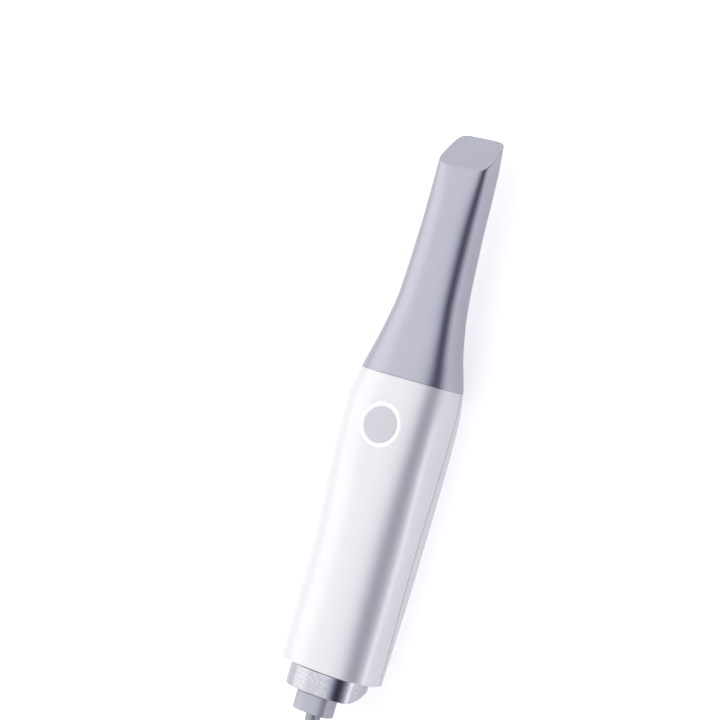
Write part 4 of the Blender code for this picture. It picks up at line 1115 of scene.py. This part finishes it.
dress(overmould, "optics_nose")
dress(silicone, "nose_seal")
dress(coatedGlass, "nose_window", "projector_lens", "camera_left_lens", "camera_right_lens")
dress(mirrorGlass, "tip_mirror")
dress(nickel, "switch_case", "button_screw_1", "button_screw_2")
dress(nickel, "board_screw_1", "board_screw_2", "board_screw_3", "board_screw_4")
dress(blackNylon, "projector_module", "processor", "switch_plunger", "harness")
dress(blackNylon, "projector_barrel", "camera_left_barrel", "camera_right_barrel")
dress(wovenStrap, "cable_tie")
dress(milledAluminium, "lens_carrier", "heat_sink")
dress(solderMask, "main_board", "button_board", "camera_board_left", "camera_board_right")
dress(creamNylon, "lead_socket", "harness_plug")
dress(ringAcrylic, "ring_lamp_1", "ring_lamp_2", "ring_lamp_3", "ring_lamp_4")
print("CAD pieces dressed")


# The floor, in metres: white paper that adds some light of its own to what the camera and the metal see
paper = {
    "reach": 6.0,
    "below": 0.0006,
    "colour": "#F3F3F5",
    "roughness": 0.9,
    "specular": 0.1,
    "lift": 0.62,
    "liftInMetal": 0.42,
}


# A white surface that shows as white and still keeps the shadow
def makeFloor():
    mesh = bpy.data.meshes.new("floor")
    corners = [(x * paper["reach"], y * paper["reach"], 0) for x, y in ((-1, -1), (1, -1), (1, 1), (-1, 1))]
    mesh.from_pydata(corners, [], [(0, 1, 2, 3)])
    floor = bpy.data.objects.new("floor", mesh)
    floor.location.z = -paper["below"]
    scene.collection.objects.link(floor)
    made = bpy.data.materials.new("white paper sweep")
    made.use_nodes = True
    tree = made.node_tree
    shader = tree.nodes["Principled BSDF"]
    shader.inputs["Base Color"].default_value = linear(paper["colour"])
    shader.inputs["Roughness"].default_value = paper["roughness"]
    shader.inputs["Specular IOR Level"].default_value = paper["specular"]
    rays = addNode(tree, "ShaderNodeLightPath").outputs
    mirrored = addNode(tree, "ShaderNodeMath", {"operation": "MAXIMUM"},
                       {0: rays["Is Glossy Ray"], 1: rays["Is Transmission Ray"]})
    softer = addNode(tree, "ShaderNodeMath", {"operation": "MULTIPLY"},
                     {0: mirrored.outputs[0], 1: paper["liftInMetal"]})
    strength = addNode(tree, "ShaderNodeMath", {"operation": "MULTIPLY_ADD"},
                       {0: rays["Is Camera Ray"], 1: paper["lift"], 2: softer.outputs[0]})
    glow = addNode(tree, "ShaderNodeEmission", {}, {"Strength": strength.outputs[0]})
    both = addNode(tree, "ShaderNodeAddShader", {}, {0: shader.outputs[0], 1: glow.outputs[0]})
    tree.links.new(both.outputs[0], tree.nodes["Material Output"].inputs["Surface"])
    mesh.materials.append(made)


# The studio's walls, pale on the left and dark above right, as they lie round the handle's axis:
# (degrees from straight above, right positive; colour; brightness). Fill is their share as plain light
walls = {
    "stops": [
        (-90, "#FFFFFF", 1.05), (-66, "#FFFFFF", 1.1), (-40, "#FFFFFF", 1.17), (-15, "#FFFFFF", 1.27),
        (2, "#F8F8FF", 1.12), (13, "#E8E8FF", 0.8), (24, "#C0C0FF", 0.12), (40, "#C0C0FF", 0.05),
        (54, "#D8D8FF", 0.25), (68, "#F0F0FF", 0.8), (90, "#FCFCFF", 1.05),
    ],
    "level": 1.5,
    "fill": 0.85,
}


# The walls as the object mirrors them, a little dimmer as fill light, and white to the camera
def makeWorld():
    world = bpy.data.worlds.new("studio")
    world.use_nodes = True
    tree = world.node_tree
    background = tree.nodes["Background"]
    level, fillLevel = walls["level"], walls["level"] * walls["fill"]
    rays = addNode(tree, "ShaderNodeLightPath").outputs
    heading = addNode(tree, "ShaderNodeTexCoord")
    parts = addNode(tree, "ShaderNodeSeparateXYZ", {}, {0: heading.outputs["Generated"]})
    angle = addNode(tree, "ShaderNodeMath", {"operation": "ARCTAN2"},
                    {0: parts.outputs["X"], 1: parts.outputs["Z"]})
    share = addNode(tree, "ShaderNodeMapRange", {},
                    {"Value": angle.outputs[0], "From Min": -math.pi / 2, "From Max": math.pi / 2})
    tones = addNode(tree, "ShaderNodeValToRGB", {}, {"Fac": share.outputs[0]})
    ramp = tones.color_ramp
    ramp.interpolation = "B_SPLINE"
    while len(ramp.elements) < len(walls["stops"]):
        ramp.elements.new(1.0)
    for stop, (degrees, colour, brightness) in zip(ramp.elements, walls["stops"]):
        stop.position = (degrees + 90) / 180
        stop.color = tuple(value * brightness / level for value in linear(colour)[:3]) + (1.0,)
    white = (1 / fillLevel,) * 3 + (1.0,)
    shown = addNode(tree, "ShaderNodeMix", {"data_type": "RGBA"},
                    {"Factor": rays["Is Camera Ray"], mixFrom: tones.outputs["Color"], mixTo: white})
    mirrored = addNode(tree, "ShaderNodeMath", {"operation": "MAXIMUM"},
                       {0: rays["Is Glossy Ray"], 1: rays["Is Transmission Ray"]})
    strength = addNode(tree, "ShaderNodeMapRange", {},
                       {"Value": mirrored.outputs[0], "To Min": fillLevel, "To Max": level})
    tree.links.new(shown.outputs[mixResult], background.inputs["Color"])
    tree.links.new(strength.outputs[0], background.inputs["Strength"])
    scene.world = world


# A soft lamp on each side, in metres and watts
lamps = {
    "highLeft": {"direction": (-0.82, 0.0, 0.57), "distance": 1.2, "size": (1.6, 0.8), "power": 1.5},
    "lowRight": {"direction": (0.95, -0.35, 0.12), "distance": 1.0, "size": (0.7, 0.3), "power": 0.4},
}


# A rectangular lamp that faces the handle, its first side along the handle
def makeLamp(name, plan):
    data = bpy.data.lights.new(name, "AREA")
    data.shape = "RECTANGLE"
    data.size, data.size_y = plan["size"]
    data.energy = plan["power"]
    lamp = bpy.data.objects.new(name, data)
    scene.collection.objects.link(lamp)
    aim = Vector(plan["direction"]).normalized()
    across = (Vector((0, 1, 0)) - aim * aim.y).normalized()
    turn = Matrix((across, aim.cross(across), aim)).transposed().to_4x4()
    lamp.matrix_world = Matrix.Translation(aim * plan["distance"]) @ turn


makeFloor()
makeWorld()
for name, plan in lamps.items():
    makeLamp(name, plan)
print("studio made")
